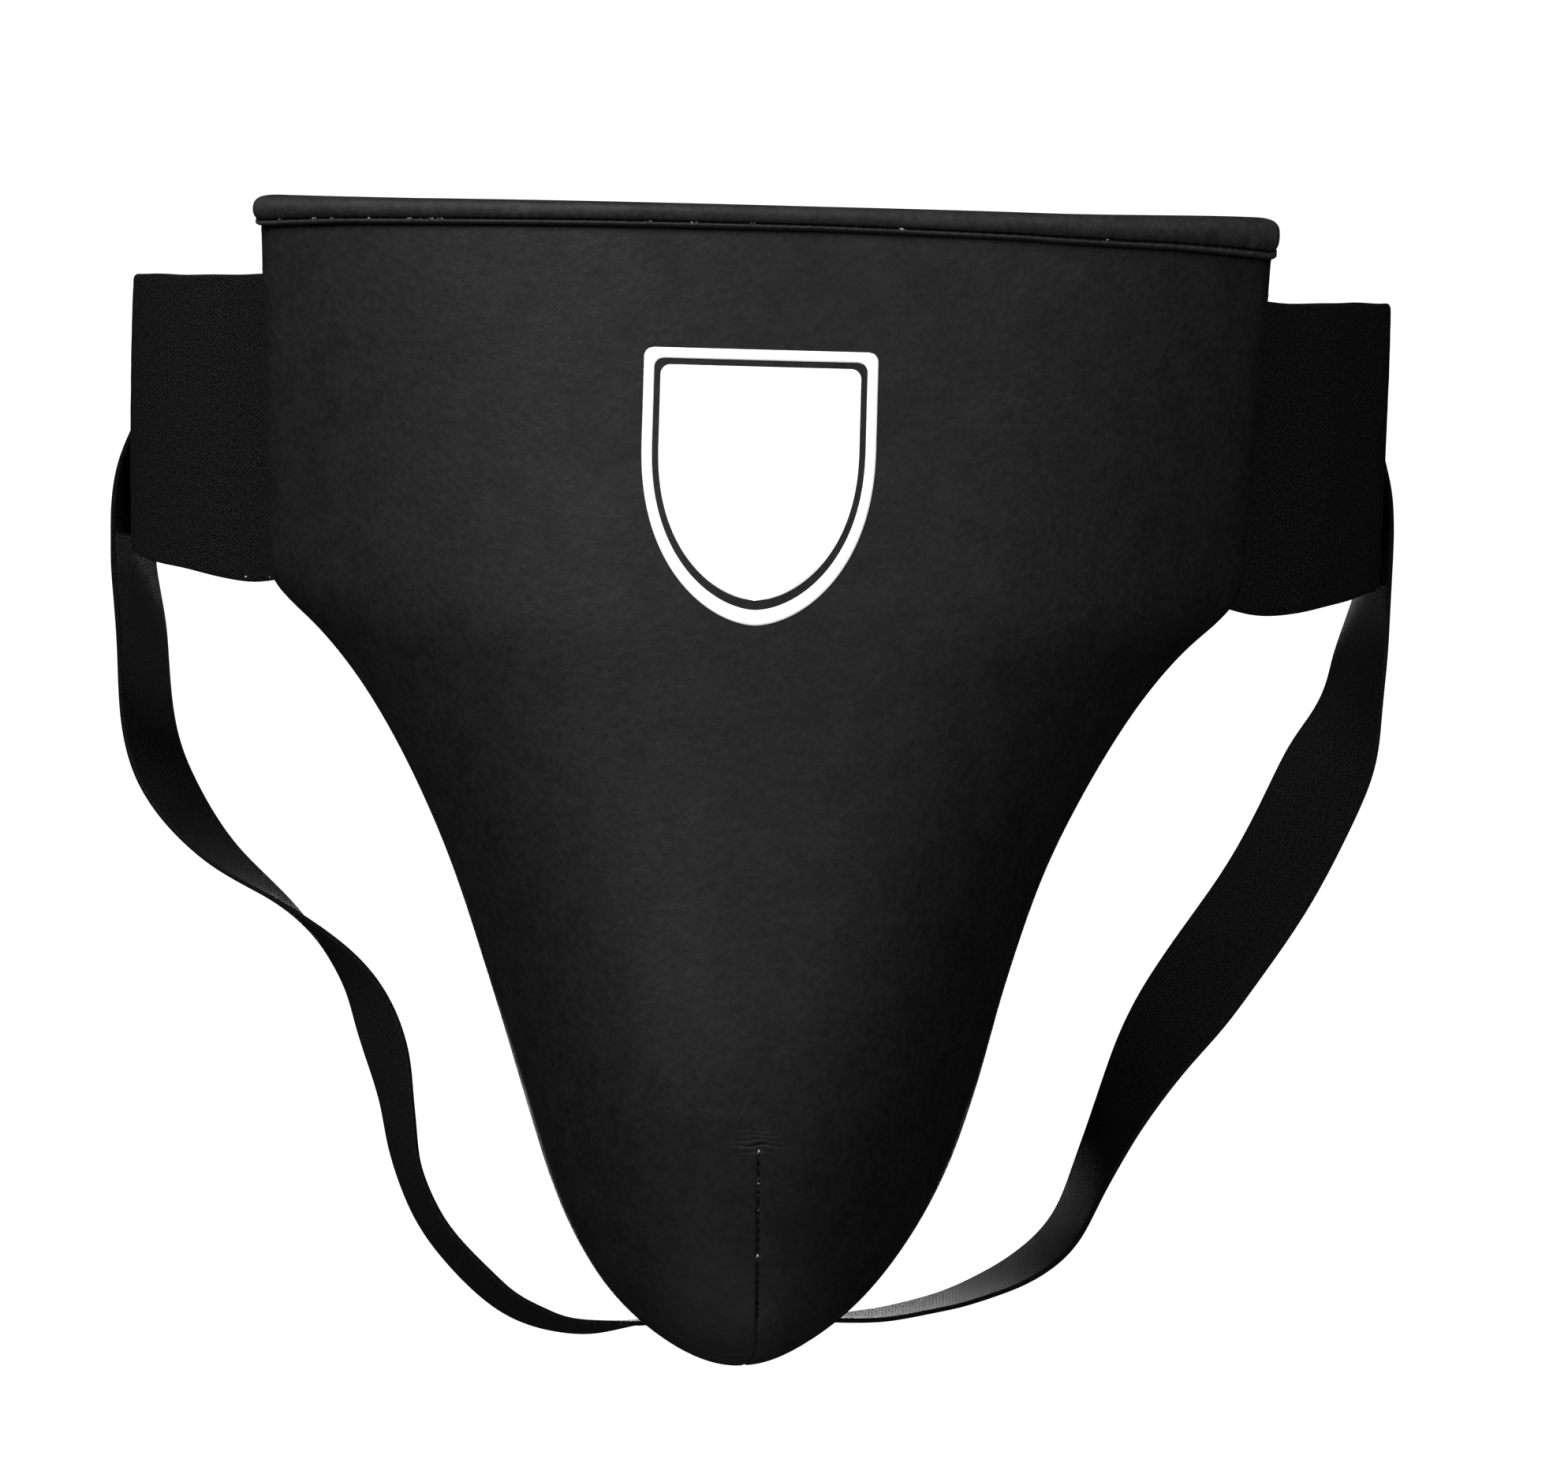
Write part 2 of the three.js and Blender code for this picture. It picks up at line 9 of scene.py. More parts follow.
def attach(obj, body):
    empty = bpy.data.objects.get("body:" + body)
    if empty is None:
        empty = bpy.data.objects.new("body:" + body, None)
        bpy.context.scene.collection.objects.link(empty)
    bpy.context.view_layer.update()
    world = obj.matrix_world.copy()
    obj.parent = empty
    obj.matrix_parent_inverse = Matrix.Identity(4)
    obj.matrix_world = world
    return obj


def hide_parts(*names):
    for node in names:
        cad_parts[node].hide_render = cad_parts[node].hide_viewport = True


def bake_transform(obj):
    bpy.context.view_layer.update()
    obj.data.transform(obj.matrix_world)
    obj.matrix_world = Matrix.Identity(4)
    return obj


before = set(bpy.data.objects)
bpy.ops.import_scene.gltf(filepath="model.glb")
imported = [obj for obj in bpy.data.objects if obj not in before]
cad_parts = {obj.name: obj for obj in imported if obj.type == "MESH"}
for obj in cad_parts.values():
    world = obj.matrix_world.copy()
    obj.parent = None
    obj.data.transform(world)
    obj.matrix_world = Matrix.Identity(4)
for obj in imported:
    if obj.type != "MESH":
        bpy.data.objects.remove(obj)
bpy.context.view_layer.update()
MM = 0.001   # metres in a millimetre

# ---- the part's own dimensions, in millimetres ----

# One row for each section of the shell from waist to crotch: y and z on the centre line,
# then x, y and z at the edge, then how far the section wraps round, in degrees.
STATIONS = np.array([
    [-97, 61, 134, -57, 61, 34],
    [-101, 34, 133.5, -56, 34, 37],
    [-106, 4, 132.5, -55, 4, 40],
    [-112, -24, 131.3, -55, -22, 43],
    [-117, -46, 129.5, -55, -40, 45],
    [-121, -64, 116, -57, -53, 48],
    [-127, -88, 101, -62, -72, 52],
    [-136, -118, 82.5, -69, -105, 60],
    [-145, -146, 69.5, -74, -139, 70],
    [-150, -172, 60.5, -76, -168, 80],
    [-148, -198, 51, -76, -195, 86],
    [-134, -221, 39, -75, -215, 88],
    [-108, -236, 26, -73, -229, 80],
    [-79, -245, 16, -70, -238, 60],
], float)
# How much further out the left and right edges lie at each height: sewing pulls them out of true.
EDGE_DRIFT = np.array([
    [-252, 1.5, -0.3], [-235, 1.6, -0.6], [-221, 0.6, 0.0], [-203, -0.2, 1.5], [-185, -0.6, 2.4],
    [-165, -0.2, 2.2], [-140, 1.3, 1.1], [-110, 1.8, 0.2], [-80, 1.8, 0.3], [-60, 2.8, 0.9],
    [-46, 4.1, 1.5], [-30, 3.2, 1.9], [0, 2.2, 2.1], [70, 1.9, 2.1],
], float)
THICKNESS = 11.9      # of the padded shell, cover to lining
RIM_RADIUS = 5.4      # its rounded edge, front to back
RIM_REACH = 9.0       # how far in the front face starts to round off
TIP_SHARE = 0.72      # of the thickness left at the crotch end
THINNING_START = 0.78 # how far down the shell it starts to thin towards the tip

BAND_HALF_HEIGHT = 40.0
BAND_HALF_THICKNESS = 0.8
BAND_DEPTH = 13.05    # of the band's sewn end, behind the shell's face
# The waistband's plan from the shell's edge: x and y round the side, then along the back
SIDE_PATH = [(140, -31.5), (157, -16), (171, -1), (180, 12), (184.5, 24), (185.5, 35), (181, 47), (171, 58)]
REAR_PATH = [(155, 69.5), (132, 80), (105, 87.5), (80, 91.5), (60, 92)]
REAR_Y = 92.0
OVER_FLAP_RAISE = 5.0 # how far the right half lies behind the left one, which it laps over
TAB_HALF_HEIGHT = 28.0
# The closure tab from its root to its rounded end: x and half height
TAB_OUTLINE = [(-5, 28), (-22, 28), (-40, 28), (-58, 28), (-68, 26.5), (-74, 22), (-76.5, 15)]

# Free leg straps: x, z and the turn of the webbing in degrees, 0 facing the front.
RIGHT_STRAP = np.array([
    [178.5, -44, -69], [177.8, -60, -66], [175, -78, -57], [166.5, -100, -16], [152, -128, -10],
    [133, -154, -20], [119, -173, -46], [109, -191, -66], [101, -208, -76], [93, -225, -82],
    [81, -234.8, -89], [64, -240.6, -98], [47, -242.7, -103], [31, -243.0, -104],
], float)
LEFT_STRAP = np.array([
    [-184.8, -44, 71], [-182.8, -64, 70], [-180.5, -92, 68], [-173, -110.5, 71], [-157.5, -127.5, 85],
    [-132.5, -143, 104], [-114, -159, 122], [-105, -176, 128], [-100.5, -194, 119],
    [-97, -212.5, 116], [-87, -230.5, 120], [-67.5, -245.5, 124], [-48.5, -249, 120], [-31, -245.5, 110],
], float)
STRAP_HALF_WIDTH = 13.5
STRAP_HALF_THICKNESS = 0.65
STRAP_PLANE = (184.0, 32.0, 0.524)   # x, y and slope of the upright plane each strap lies in
CROTCH_Z = -241.4
CROTCH_Y = -54.0
CROTCH_SLOPE = -0.32

# Dart seam at the crotch: heights of its two ends
DART_TOP = -167.0
DART_BOTTOM = -246.0


# ---- curves and surfaces ----

def smoothstep(x, low, high):
    t = np.clip((np.asarray(x, float) - low) / (high - low), 0, 1)
    return t * t * (3 - 2 * t)


def catmull(table, t):
    """Points of the smooth curve through the table's rows, for t from 0 to 1."""
    table = np.asarray(table, float)
    last = len(table) - 1
    x = np.clip(np.asarray(t, float), 0, 1) * last
    i = np.minimum(x.astype(int), last - 1)
    f = (x - i)[..., None]
    ends = np.vstack([2 * table[0] - table[1], table, 2 * table[-1] - table[-2]])
    p0, p1, p2, p3 = ends[i], ends[i + 1], ends[i + 2], ends[i + 3]
    return 0.5 * (2 * p1 + (p2 - p0) * f + (2 * p0 - 5 * p1 + 4 * p2 - p3) * f ** 2
                  + (3 * p1 - p0 - 3 * p2 + p3) * f ** 3)


def relaxed(rows, sigma):
    """The rows of an array averaged with their neighbours; the two ends stay."""
    reach = int(3 * sigma)
    kernel = np.exp(-0.5 * (np.arange(-reach, reach + 1) / sigma) ** 2)
    kernel /= kernel.sum()
    head = 2 * rows[0] - rows[reach:0:-1]
    tail = 2 * rows[-1] - rows[-2:-reach - 2:-1]
    long = np.concatenate([head, rows, tail])
    return sum(k * long[n:n + len(rows)] for n, k in enumerate(kernel))


def unit(v):
    return v / np.maximum(np.linalg.norm(v, axis=-1, keepdims=True), 1e-9)


def run_along(path):
    """The distance along a polyline at each of its points."""
    return np.concatenate([[0], np.cumsum(np.linalg.norm(np.diff(path, axis=0), axis=1))])


def sampled(path, run, at):
    """A polyline's points at these distances along it."""
    return np.stack([np.interp(at, run, path[:, k]) for k in range(path.shape[1])], 1)


def evenly(path, step):
    """A polyline resampled every step, with its ends kept."""
    run = run_along(path)
    return sampled(path, run, np.linspace(0, run[-1], max(2, int(round(run[-1] / step)) + 1)))


FINE_STATIONS = relaxed(catmull(STATIONS, np.linspace(0, 1, 521)), 9.0)
HEIGHTS = np.linspace(EDGE_DRIFT[0, 0], EDGE_DRIFT[-1, 0], 200)
LEFT_DRIFT, RIGHT_DRIFT = (
    relaxed(np.interp(HEIGHTS, EDGE_DRIFT[:, 0], EDGE_DRIFT[:, k]), 4.0) for k in (1, 2))


def shell(u, v):
    """The shell's face: u from -1 at the left edge to 1 at the right, v from 0 at the top to 1."""
    u, v = np.broadcast_arrays(np.asarray(u, float), np.asarray(v, float))
    s = catmull(FINE_STATIONS, v)
    wrap = np.radians(s[..., 5])
    across = np.sin(wrap * u) / np.sin(wrap)
    back = (1 - np.cos(wrap * u)) / (1 - np.cos(wrap))
    x, y, z = (s[..., 2] * across, s[..., 0] + (s[..., 3] - s[..., 0]) * back,
               s[..., 1] + (s[..., 4] - s[..., 1]) * back)
    z = z - 1.0 * smoothstep(v, 0.86, 1.0)
    drift = np.where(u < 0, -np.interp(z, HEIGHTS, LEFT_DRIFT), np.interp(z, HEIGHTS, RIGHT_DRIFT))
    return np.stack([x + drift * u ** 2, y, z], -1)


def shell_slopes(u, v):
    h = 2e-3
    low, high = np.clip(v - h, 0, 1), np.clip(v + h, 0, 1)
    across = (shell(u + h, v) - shell(u - h, v)) / (2 * h)
    down = (shell(u, high) - shell(u, low)) / (high - low)[..., None]
    return across, down


def shell_normal(u, v):
    """Unit normal into the shell, towards the wearer."""
    across, down = shell_slopes(*np.broadcast_arrays(np.asarray(u, float), np.asarray(v, float)))
    return unit(np.cross(across, down))


def thickness_share(v):
    return 1 - (1 - TIP_SHARE) * smoothstep(v, THINNING_START, 1)


def within_shell(u, v, depth):
    """Points at a depth behind the shell's face, towards the wearer."""
    return shell(u, v) + shell_normal(u, v) * np.asarray(depth, float)[..., None]


def place_on_shell(x, z):
    """The u and v of the shell's face at width x and height z."""
    x, z = np.broadcast_arrays(np.asarray(x, float), np.asarray(z, float))
    v = np.interp(-z, -FINE_STATIONS[:, 1], np.linspace(0, 1, len(FINE_STATIONS)))
    u = np.zeros_like(v)
    for _ in range(12):
        s = catmull(FINE_STATIONS, v)
        wrap = np.radians(s[..., 5])
        u = np.arcsin(np.clip(x / s[..., 2] * np.sin(wrap), -0.999, 0.999)) / wrap
        slope = (shell(u, np.clip(v + 1e-3, 0, 1)) - shell(u, np.clip(v - 1e-3, 0, 1)))[..., 2] / 2e-3
        v = np.clip(v - (shell(u, v)[..., 2] - z) / slope, 0, 1)
    return u, v


DOWN, OVER = np.linspace(0, 1, 420), np.linspace(-1, 1, 60)
BORDER = np.concatenate([shell(-1, DOWN), shell(1, DOWN), shell(OVER, 1)])


def distance_to(line, points):
    """How far each point is from the nearest point of a line."""
    flat = points.reshape(-1, 3)
    nearest = np.full(len(flat), 1e9)
    for start in range(0, len(line), 50):
        part = line[None, start:start + 50]
        nearest = np.minimum(nearest, ((flat[:, None] - part) ** 2).sum(2).min(1))
    return np.sqrt(nearest).reshape(points.shape[:-1])


def rim_drop(distance, share, reach=RIM_REACH):
    """How far a face that rounds off to the edge has dropped, at this distance from the edge."""
    reach = reach * share
    inside = np.clip(reach - distance, 0, reach) / reach
    return RIM_RADIUS * share * (1 - np.sqrt(np.maximum(1 - inside ** 2, 0)))


def waves(points, size, seed):
    """Smooth unevenness from -1 to 1 with features of about this size, in millimetres."""
    rng = np.random.default_rng(seed)
    total = np.zeros(points.shape[:-1])
    for _ in range(7):
        direction = unit(rng.normal(size=3))
        pace = 2 * math.pi / (size * rng.uniform(0.7, 1.5))
        total += np.sin(points @ direction * pace + rng.uniform(0, 6.28))
    return total / 3.2


def corner_cut(distance, corner):
    """What a round corner takes off a side, at this distance from the end."""
    return corner - np.sqrt(np.maximum(corner ** 2 - np.clip(corner - distance, 0, corner) ** 2, 0))


def edge_distance(places):
    """How far each place along a width is from the nearer edge."""
    return np.minimum(places - places[0], places[-1] - places)


# ---- meshes ----

def grid_quads(rows, cols, offset=0, wrap=False):
    j, i = np.meshgrid(np.arange(rows - 1), np.arange(cols if wrap else cols - 1), indexing="ij")
    right = (i + 1) % cols
    quads = np.stack([j * cols + i, j * cols + right, (j + 1) * cols + right, (j + 1) * cols + i], -1)
    return quads.reshape(-1, 4) + offset


def piece(name, points, quads, material, extra=(), weave=None):
    """A mesh object from points in millimetres, with its faces turned outwards. extra holds
    faces of more than four corners, and weave the woven materials' own coordinates."""
    points = np.asarray(points, float).reshape(-1, 3)
    centred = points - points.mean(0)
    a, b, c, d = (centred[quads[:, k]] for k in range(4))
    volume = (np.cross(a, b) * c).sum() + (np.cross(a, c) * d).sum()
    faces = quads.tolist() + [list(face) for face in extra]
    if volume < 0:
        faces = [face[::-1] for face in faces]
    mesh = bpy.data.meshes.new(name)
    mesh.from_pydata((points * MM).tolist(), [], faces)
    mesh.shade_smooth()
    if weave is not None:
        attribute = mesh.attributes.new("weave", "FLOAT_VECTOR", "POINT")
        attribute.data.foreach_set("vector", np.asarray(weave, np.float32).ravel())
    mesh.update()
    obj = bpy.data.objects.new(name, mesh)
    bpy.context.scene.collection.objects.link(obj)
    obj.data.materials.append(material)
    return obj


def fit(obj, body, *nodes):
    """Makes a piece ride on a body, in place of its CAD nodes where it has any."""
    if nodes:
        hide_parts(*nodes)
    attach(obj, body)
    return obj


def rim_loop(rows, cols):
    top = [(0, i) for i in range(cols)]
    right = [(j, cols - 1) for j in range(1, rows)]
    bottom = [(rows - 1, i) for i in range(cols - 2, -1, -1)]
    left = [(j, 0) for j in range(rows - 2, 0, -1)]
    return np.array([j * cols + i for j, i in top + right + bottom + left])


def solid_between(name, front, back, material, slot, weave=None):
    """The closed solid between two grids of points."""
    rows, cols = front.shape[:2]
    count = rows * cols
    loop = rim_loop(rows, cols)
    after = np.roll(loop, -1)
    walls = np.stack([loop, loop + count, after + count, after], -1)
    quads = np.concatenate([
        grid_quads(rows, cols)[:, ::-1], grid_quads(rows, cols, count), walls,
    ])
    if weave is not None:
        weave = np.concatenate([weave.reshape(-1, 3)] * 2)
    points = np.concatenate([front.reshape(-1, 3), back.reshape(-1, 3)])
    return piece(name, points, quads, material, weave=weave)


def grid_normals(grid):
    along = np.gradient(grid, axis=0)
    across = np.gradient(grid, axis=1)
    return unit(np.cross(across, along))


def edge_steps(length, step, fine=(0, 0.08, 0.3, 0.7, 1.3, 2.1)):
    """Places across a width: close together at both edges, step apart between."""
    fine = np.array(fine)
    inner = np.linspace(fine[-1], length - fine[-1], max(2, int((length - 2 * fine[-1]) / step) + 1))
    return np.concatenate([fine[:-1], inner, (length - fine[:-1])[::-1]])


def sheet_faces(grid, across, along, half, least, unevenness=0.0):
    """Front and back of a sheet with rounded edges round a grid of middle points, with each
    column's and row's distance in millimetres."""
    def share(places):
        reach = np.clip(1 - edge_distance(places) / (1.1 * half), 0, 1)
        return np.sqrt(np.maximum(1 - reach ** 2, least))

    thick = half * (share(across)[None, :] * share(along)[:, None] * (1 + unevenness))
    offset = grid_normals(grid) * thick[..., None]
    return grid - offset, grid + offset


def weave_map(along, across):
    """The woven materials' own coordinates: metres along the cloth and across it."""
    return np.stack(np.broadcast_arrays(along[:, None] * MM, across[None, :] * MM, np.zeros((1, 1))), -1)


def cloth(name, grid, across, along, half, material, slot, fray=0.0, seed=1):
    """Webbing, leather or cloth as a closed slab, a little uneven where it is frayed."""
    unevenness = fray * waves(grid, 6.0, seed) if fray else 0.0
    front, back = sheet_faces(grid, across, along, half, 0.05, unevenness)
    return solid_between(name, front, back, material, slot, weave=weave_map(along, across))


def loft(name, loops, material):
    """A closed form through a row of closed loops, capped at both ends."""
    rows, cols = loops.shape[:2]
    caps = [list(range(cols))[::-1], [(rows - 1) * cols + i for i in range(cols)]]
    return piece(name, loops, grid_quads(rows, cols, wrap=True), material, extra=caps)


def ring_tube(name, grid, material):
    """A closed ring through a row of closed loops, the last one joined to the first."""
    rows, cols = grid.shape[:2]
    here = np.arange(cols)
    after, last = (here + 1) % cols, (rows - 1) * cols
    closing = np.stack([last + here, last + after, after, here], -1)
    return piece(name, grid, np.concatenate([grid_quads(rows, cols, wrap=True), closing]), material)


def stitches(name, body, path, normals, slot, spacing=2.9, length=2.1, radius=0.27, sink=0.05, glints=()):
    """A row of sewing-thread stitches lying along a path; those at the glints, in mm along it, are painted near white
    as a highlight.
    """
    run = run_along(path)
    centres = np.arange(spacing / 2, run[-1], spacing)
    middle = sampled(path, run, centres)
    tangent = unit(sampled(path, run, centres + 0.4) - sampled(path, run, centres - 0.4))
    out = unit(sampled(normals, run, centres))
    side = unit(np.cross(tangent, out))
    rings, sides = 7, 8
    s = np.linspace(-1, 1, rings)[:, None]
    thick = radius * np.sqrt(np.maximum(1 - s ** 4, 0.02))
    arch = (1 - s ** 2) * radius * 0.9 - radius * 0.9 - sink
    angle = np.linspace(0, 2 * math.pi, sides, endpoint=False)
    middle, tangent, out, side = (part[:, None, None] for part in (middle, tangent, out, side))
    points = (middle + tangent * (s * length / 2)[..., None] + out * (arch + thick * np.sin(angle))[..., None]
              + side * (thick * np.cos(angle))[..., None])
    count, each = len(centres), rings * sides
    quads = grid_quads(rings, sides, wrap=True) + np.arange(count)[:, None, None] * each
    ends = [list(range(sides))[::-1], list(range(each - sides, each))]
    caps = [[k * each + i for i in end] for k in range(count) for end in ends]
    made = piece(name, points, quads.reshape(-1, 4), THREAD, extra=caps)
    # Mark the stitches at the glints for the thread's painted highlight.
    painted_glint_marks = np.zeros(count)
    for place in glints:
        painted_glint_marks[np.argmin(np.abs(centres - place))] = 1.0
    layer = made.data.attributes.new("glint", "FLOAT", "POINT")
    layer.data.foreach_set("value", np.repeat(painted_glint_marks, each).astype(np.float32))
    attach(made, body)


# ---- materials ----

class Look:
    """A node material under construction."""

    def __init__(self, name, colour, roughness, specular=0.5, sheen=0.0):
        self.material = bpy.data.materials.new(name)
        self.material.use_nodes = True
        self.tree = self.material.node_tree
        self.shader = self.tree.nodes["Principled BSDF"]
        self.set(self.shader, "Base Color", (*colour, 1))
        self.set(self.shader, "Roughness", roughness)
        self.set(self.shader, "Specular IOR Level", specular)
        self.set(self.shader, "Sheen Weight", sheen)
        self.set(self.shader, "Sheen Roughness", 0.5)

    def set(self, node, socket, value):
        socket = node.inputs[socket]
        if isinstance(value, bpy.types.NodeSocket):
            self.tree.links.new(value, socket)
        elif value is not None:
            socket.default_value = value

    def node(self, kind, output=0, props=None, **inputs):
        made = self.tree.nodes.new("ShaderNode" + kind)
        for key, value in (props or {}).items():
            setattr(made, key, value)
        for key, value in inputs.items():
            self.set(made, int(key[1:]) if key[0] == "i" and key[1:].isdigit() else key.replace("_", " "), value)
        return made.outputs[output]

    def math(self, operation, a, b=None, c=None):
        return self.node("Math", props={"operation": operation}, i0=a, i1=b, i2=c)

    def place(self):
        return self.node("TexCoord", output="Object")

    def noise(self, scale, detail=3.0, vector=None):
        return self.node("TexNoise", Vector=vector or self.place(), Scale=scale, Detail=detail)

    def cells(self, scale):
        return self.node("TexVoronoi", props={"feature": "SMOOTH_F1"}, Vector=self.place(), Scale=scale)

    def weighted(self, *parts):
        """The sum of values, each times its weight."""
        first, *more = (self.math("MULTIPLY", value, weight) for value, weight in parts)
        for term in more:
            first = self.math("ADD", first, term)
        return first

    def ridges(self, value, pitch):
        """Rounded ridges of this pitch, from 0 to 1."""
        return self.math("ABSOLUTE", self.math("SINE", self.math("MULTIPLY", value, math.pi / pitch)))

    def spread(self, value, low, high, start=0.3, end=0.7):
        """value from start to end becomes low to high."""
        return self.node("MapRange", Value=value, From_Min=start, From_Max=end, To_Min=low, To_Max=high)

    def tint(self, factor, first, second):
        mix = self.node("Mix", output=2, props={"data_type": "RGBA"}, i0=factor, i6=(*first, 1), i7=(*second, 1))
        self.set(self.shader, "Base Color", mix)

    def bump(self, height, distance):
        self.set(self.shader, "Normal", self.node("Bump", Strength=1.0, Distance=distance, Height=height))


def grey(value):
    return (value, value, value * 1.02)


DENT_DEPTH = 0.00016   # of the cover's soft unevenness, metres


def leather(name, low, high, roughness, grain=0.00003, specular=0.2):
    """Mottled matte synthetic leather: soft dents with a fine pebbled grain on them."""
    look = Look(name, grey(low), roughness, specular=specular)
    mottle = look.weighted((look.noise(110.0), 0.35), (look.noise(560.0), 0.65))
    look.tint(look.spread(mottle, 0, 1, 0.40, 0.60), grey(low), grey(high))
    worn = look.spread(look.noise(120.0, 5.0), roughness - 0.07, roughness + 0.07)
    look.set(look.shader, "Roughness", worn)
    fine = look.weighted((look.cells(1500.0), 0.8), (look.noise(3200.0, 2.0), 0.35))
    look.bump(look.weighted((fine, grain / DENT_DEPTH), (look.noise(420.0), 1.0)), DENT_DEPTH)
    return look.material


def woven(name, low, high, rib, pick, depth, roughness=0.78, lengthwise=False, specular=0.1):
    """Woven elastic: ribs across the band (or along it) crossed by finer threads; the colour is darker in the hollows
    between them, a painted shade, and speckled at random.
    """
    look = Look(name, grey(low), roughness, specular=specular)
    place = look.node("Attribute", output="Vector", props={"attribute_name": "weave"})
    first, second = (look.node("SeparateXYZ", output=k, Vector=place) for k in ((1, 0) if lengthwise else (0, 1)))
    first = look.weighted((first, 1.0), (look.noise(260.0, 3.0, place), 0.0018))
    number = look.math("FLOOR", look.math("DIVIDE", first, rib))
    second = look.weighted((second, 1.0), (number, pick / 2), (look.noise(380.0, 2.0, place), 0.0012))
    body = look.weighted((look.ridges(first, rib), 0.5), (look.ridges(second, pick), 0.5))
    # The tone is lighter on the rib crests and darker in the hollows between them, a painted shade, and speckled at
    # random by the noise.
    speckle_and_painted_shade = look.weighted((body, 0.5), (look.noise(1100.0, 5.0, place), 1.4))
    look.tint(look.spread(speckle_and_painted_shade, 0, 1, 0.78, 1.16), grey(low), grey(high))
    look.bump(look.weighted((body, 1.0), (look.noise(1500.0, 3.0, place), 0.9)), depth)
    return look.material


def plain(name, low, high, roughness, scale, depth, specular=0.4, sheen=0.0, colour=None):
    """One even material, a little blotched and bumped; the blotches come from the bumps' own noise, so it is coloured
    darker in its dents, a painted shade.
    """
    look = Look(name, grey(low), roughness, specular=specular, sheen=sheen)
    texture = look.noise(scale, 4.0)
    # The same noise colours and bumps it, so the dents are painted darker: painted shade.
    look.tint(look.spread(texture, 0, 1, 0.35, 0.65), *(colour or (grey(low), grey(high))))
    look.bump(texture, depth)
    return look.material


def thread_look():
    look = Look("thread", grey(0.01), 0.6, specular=0.08)
    # Marked stitches get small spots coloured near white: painted highlights standing in for light caught by the
    # thread.
    mark = look.node("Attribute", output="Fac", props={"attribute_name": "glint"})
    glint = look.math("MULTIPLY", mark, look.spread(look.noise(1100.0, 2.0), 0, 1, 0.50, 0.62))
    look.tint(glint, grey(0.0015), grey(0.62))
    twist = look.node("TexWave", props={"wave_type": "BANDS", "bands_direction": "DIAGONAL"},
                      Vector=look.place(), Scale=900.0, Distortion=0.0)
    look.bump(twist, 0.00006)
    return look.material


def print_look():
    look = Look("white_print", (0.93, 0.93, 0.93), 0.5, specular=0.4)
    look.tint(look.spread(look.noise(90.0, 4.0), 0, 1), (0.92, 0.92, 0.92), (0.96, 0.96, 0.96))
    # The print glows a little by its own emission: painted light, as it is no lamp.
    look.set(look.shader, "Emission Color", (1, 1, 1, 1))
    look.set(look.shader, "Emission Strength", 0.18)
    look.bump(look.cells(1500.0), 0.00002)
    return look.material


LEATHER = leather("cover_leather", 0.0054, 0.0100, 0.6)
# The roll's leather is coloured about twice as light as the cover's: a painted highlight standing in for the light its
# top catches.
ROLL_LEATHER = leather("roll_leather", 0.0120, 0.0210, 0.66, 0.00006, specular=0.24)
BINDING_LEATHER = leather("binding_leather", 0.0045, 0.0075, 0.72, 0.00004, specular=0.1)
ELASTIC = woven("wide_elastic", 0.0006, 0.0125, 0.0011, 0.00095, 0.00045)
WEBBING = woven("strap_elastic", 0.0050, 0.0150, 0.0010, 0.0011, 0.0002, lengthwise=True, specular=0.05)
LINING = woven("lining_knit", 0.006, 0.014, 0.0011, 0.0008, 0.00016, roughness=0.85)
LABEL = woven("label_satin", 0.30, 0.42, 0.0004, 0.0009, 0.00005, roughness=0.55)
HOOK = plain("hook_tape", 0.004, 0.018, 0.6, 1500.0, 0.0006)
LOOP = plain("loop_pile", 0.004, 0.018, 0.95, 1100.0, 0.0007, specular=0.15, sheen=0.1)
FOAM = plain("foam", 0.02, 0.035, 0.9, 900.0, 0.0003)
RUBBER = plain("rubber", 0.008, 0.012, 0.7, 500.0, 0.0001)
CUP = plain("cup_plastic", 0.5, 0.6, 0.4, 300.0, 0.00005, colour=((0.42, 0.42, 0.40), (0.5, 0.5, 0.48)))
THREAD = thread_look()
PRINT = print_look()


# ---- the padded shell ----

def dart_x(z):
    """The dart seam's x at a height: it drifts left towards the tip."""
    s = np.clip((DART_TOP - z) / (DART_TOP - DART_BOTTOM), 0, 1)
    return 4.8 + 1.2 * s - 4.8 * smoothstep(s, 0.70, 1.03)


# Creases across the dart's top: height above it, slope outwards, depth and width.
DART_CREASES = [(0.3, -0.10, 0.62, 0.26), (1.5, -0.05, 0.24, 0.22), (2.5, 0.03, 0.2, 0.2),
                (3.6, 0.06, 0.13, 0.22), (-1.1, -0.22, 0.16, 0.22), (4.8, 0.1, 0.07, 0.25)]


def dart_relief(points):
    """Depth pressed into the cover by the dart: its groove, the pinch either side and the
    creases at its top. Negative where the cover rises."""
    x, z = points[..., 0], points[..., 2]
    off = x - dart_x(z)
    front = points[..., 1] < -60
    below = smoothstep(DART_TOP + 0.6 - z, 0, 2.2)
    tip = smoothstep(DART_TOP - z, 58, 70)
    groove = (0.30 + 0.45 * tip) * np.exp(-(off / 0.34) ** 2) + 0.12 * np.exp(-np.abs(off) / 1.6)
    relief = groove * below
    fade = np.clip(1 - np.abs(off) / np.where(off < 0, 8.0, 6.5), 0, 1) ** 1.1
    for height, slope, depth, wide in DART_CREASES:
        line = DART_TOP + height + slope * np.abs(off) + 0.25 * np.sin(off * 0.9 + height)
        relief = relief + depth * fade * np.exp(-((z - line) / wide) ** 2)
    return np.where(front, relief, 0)


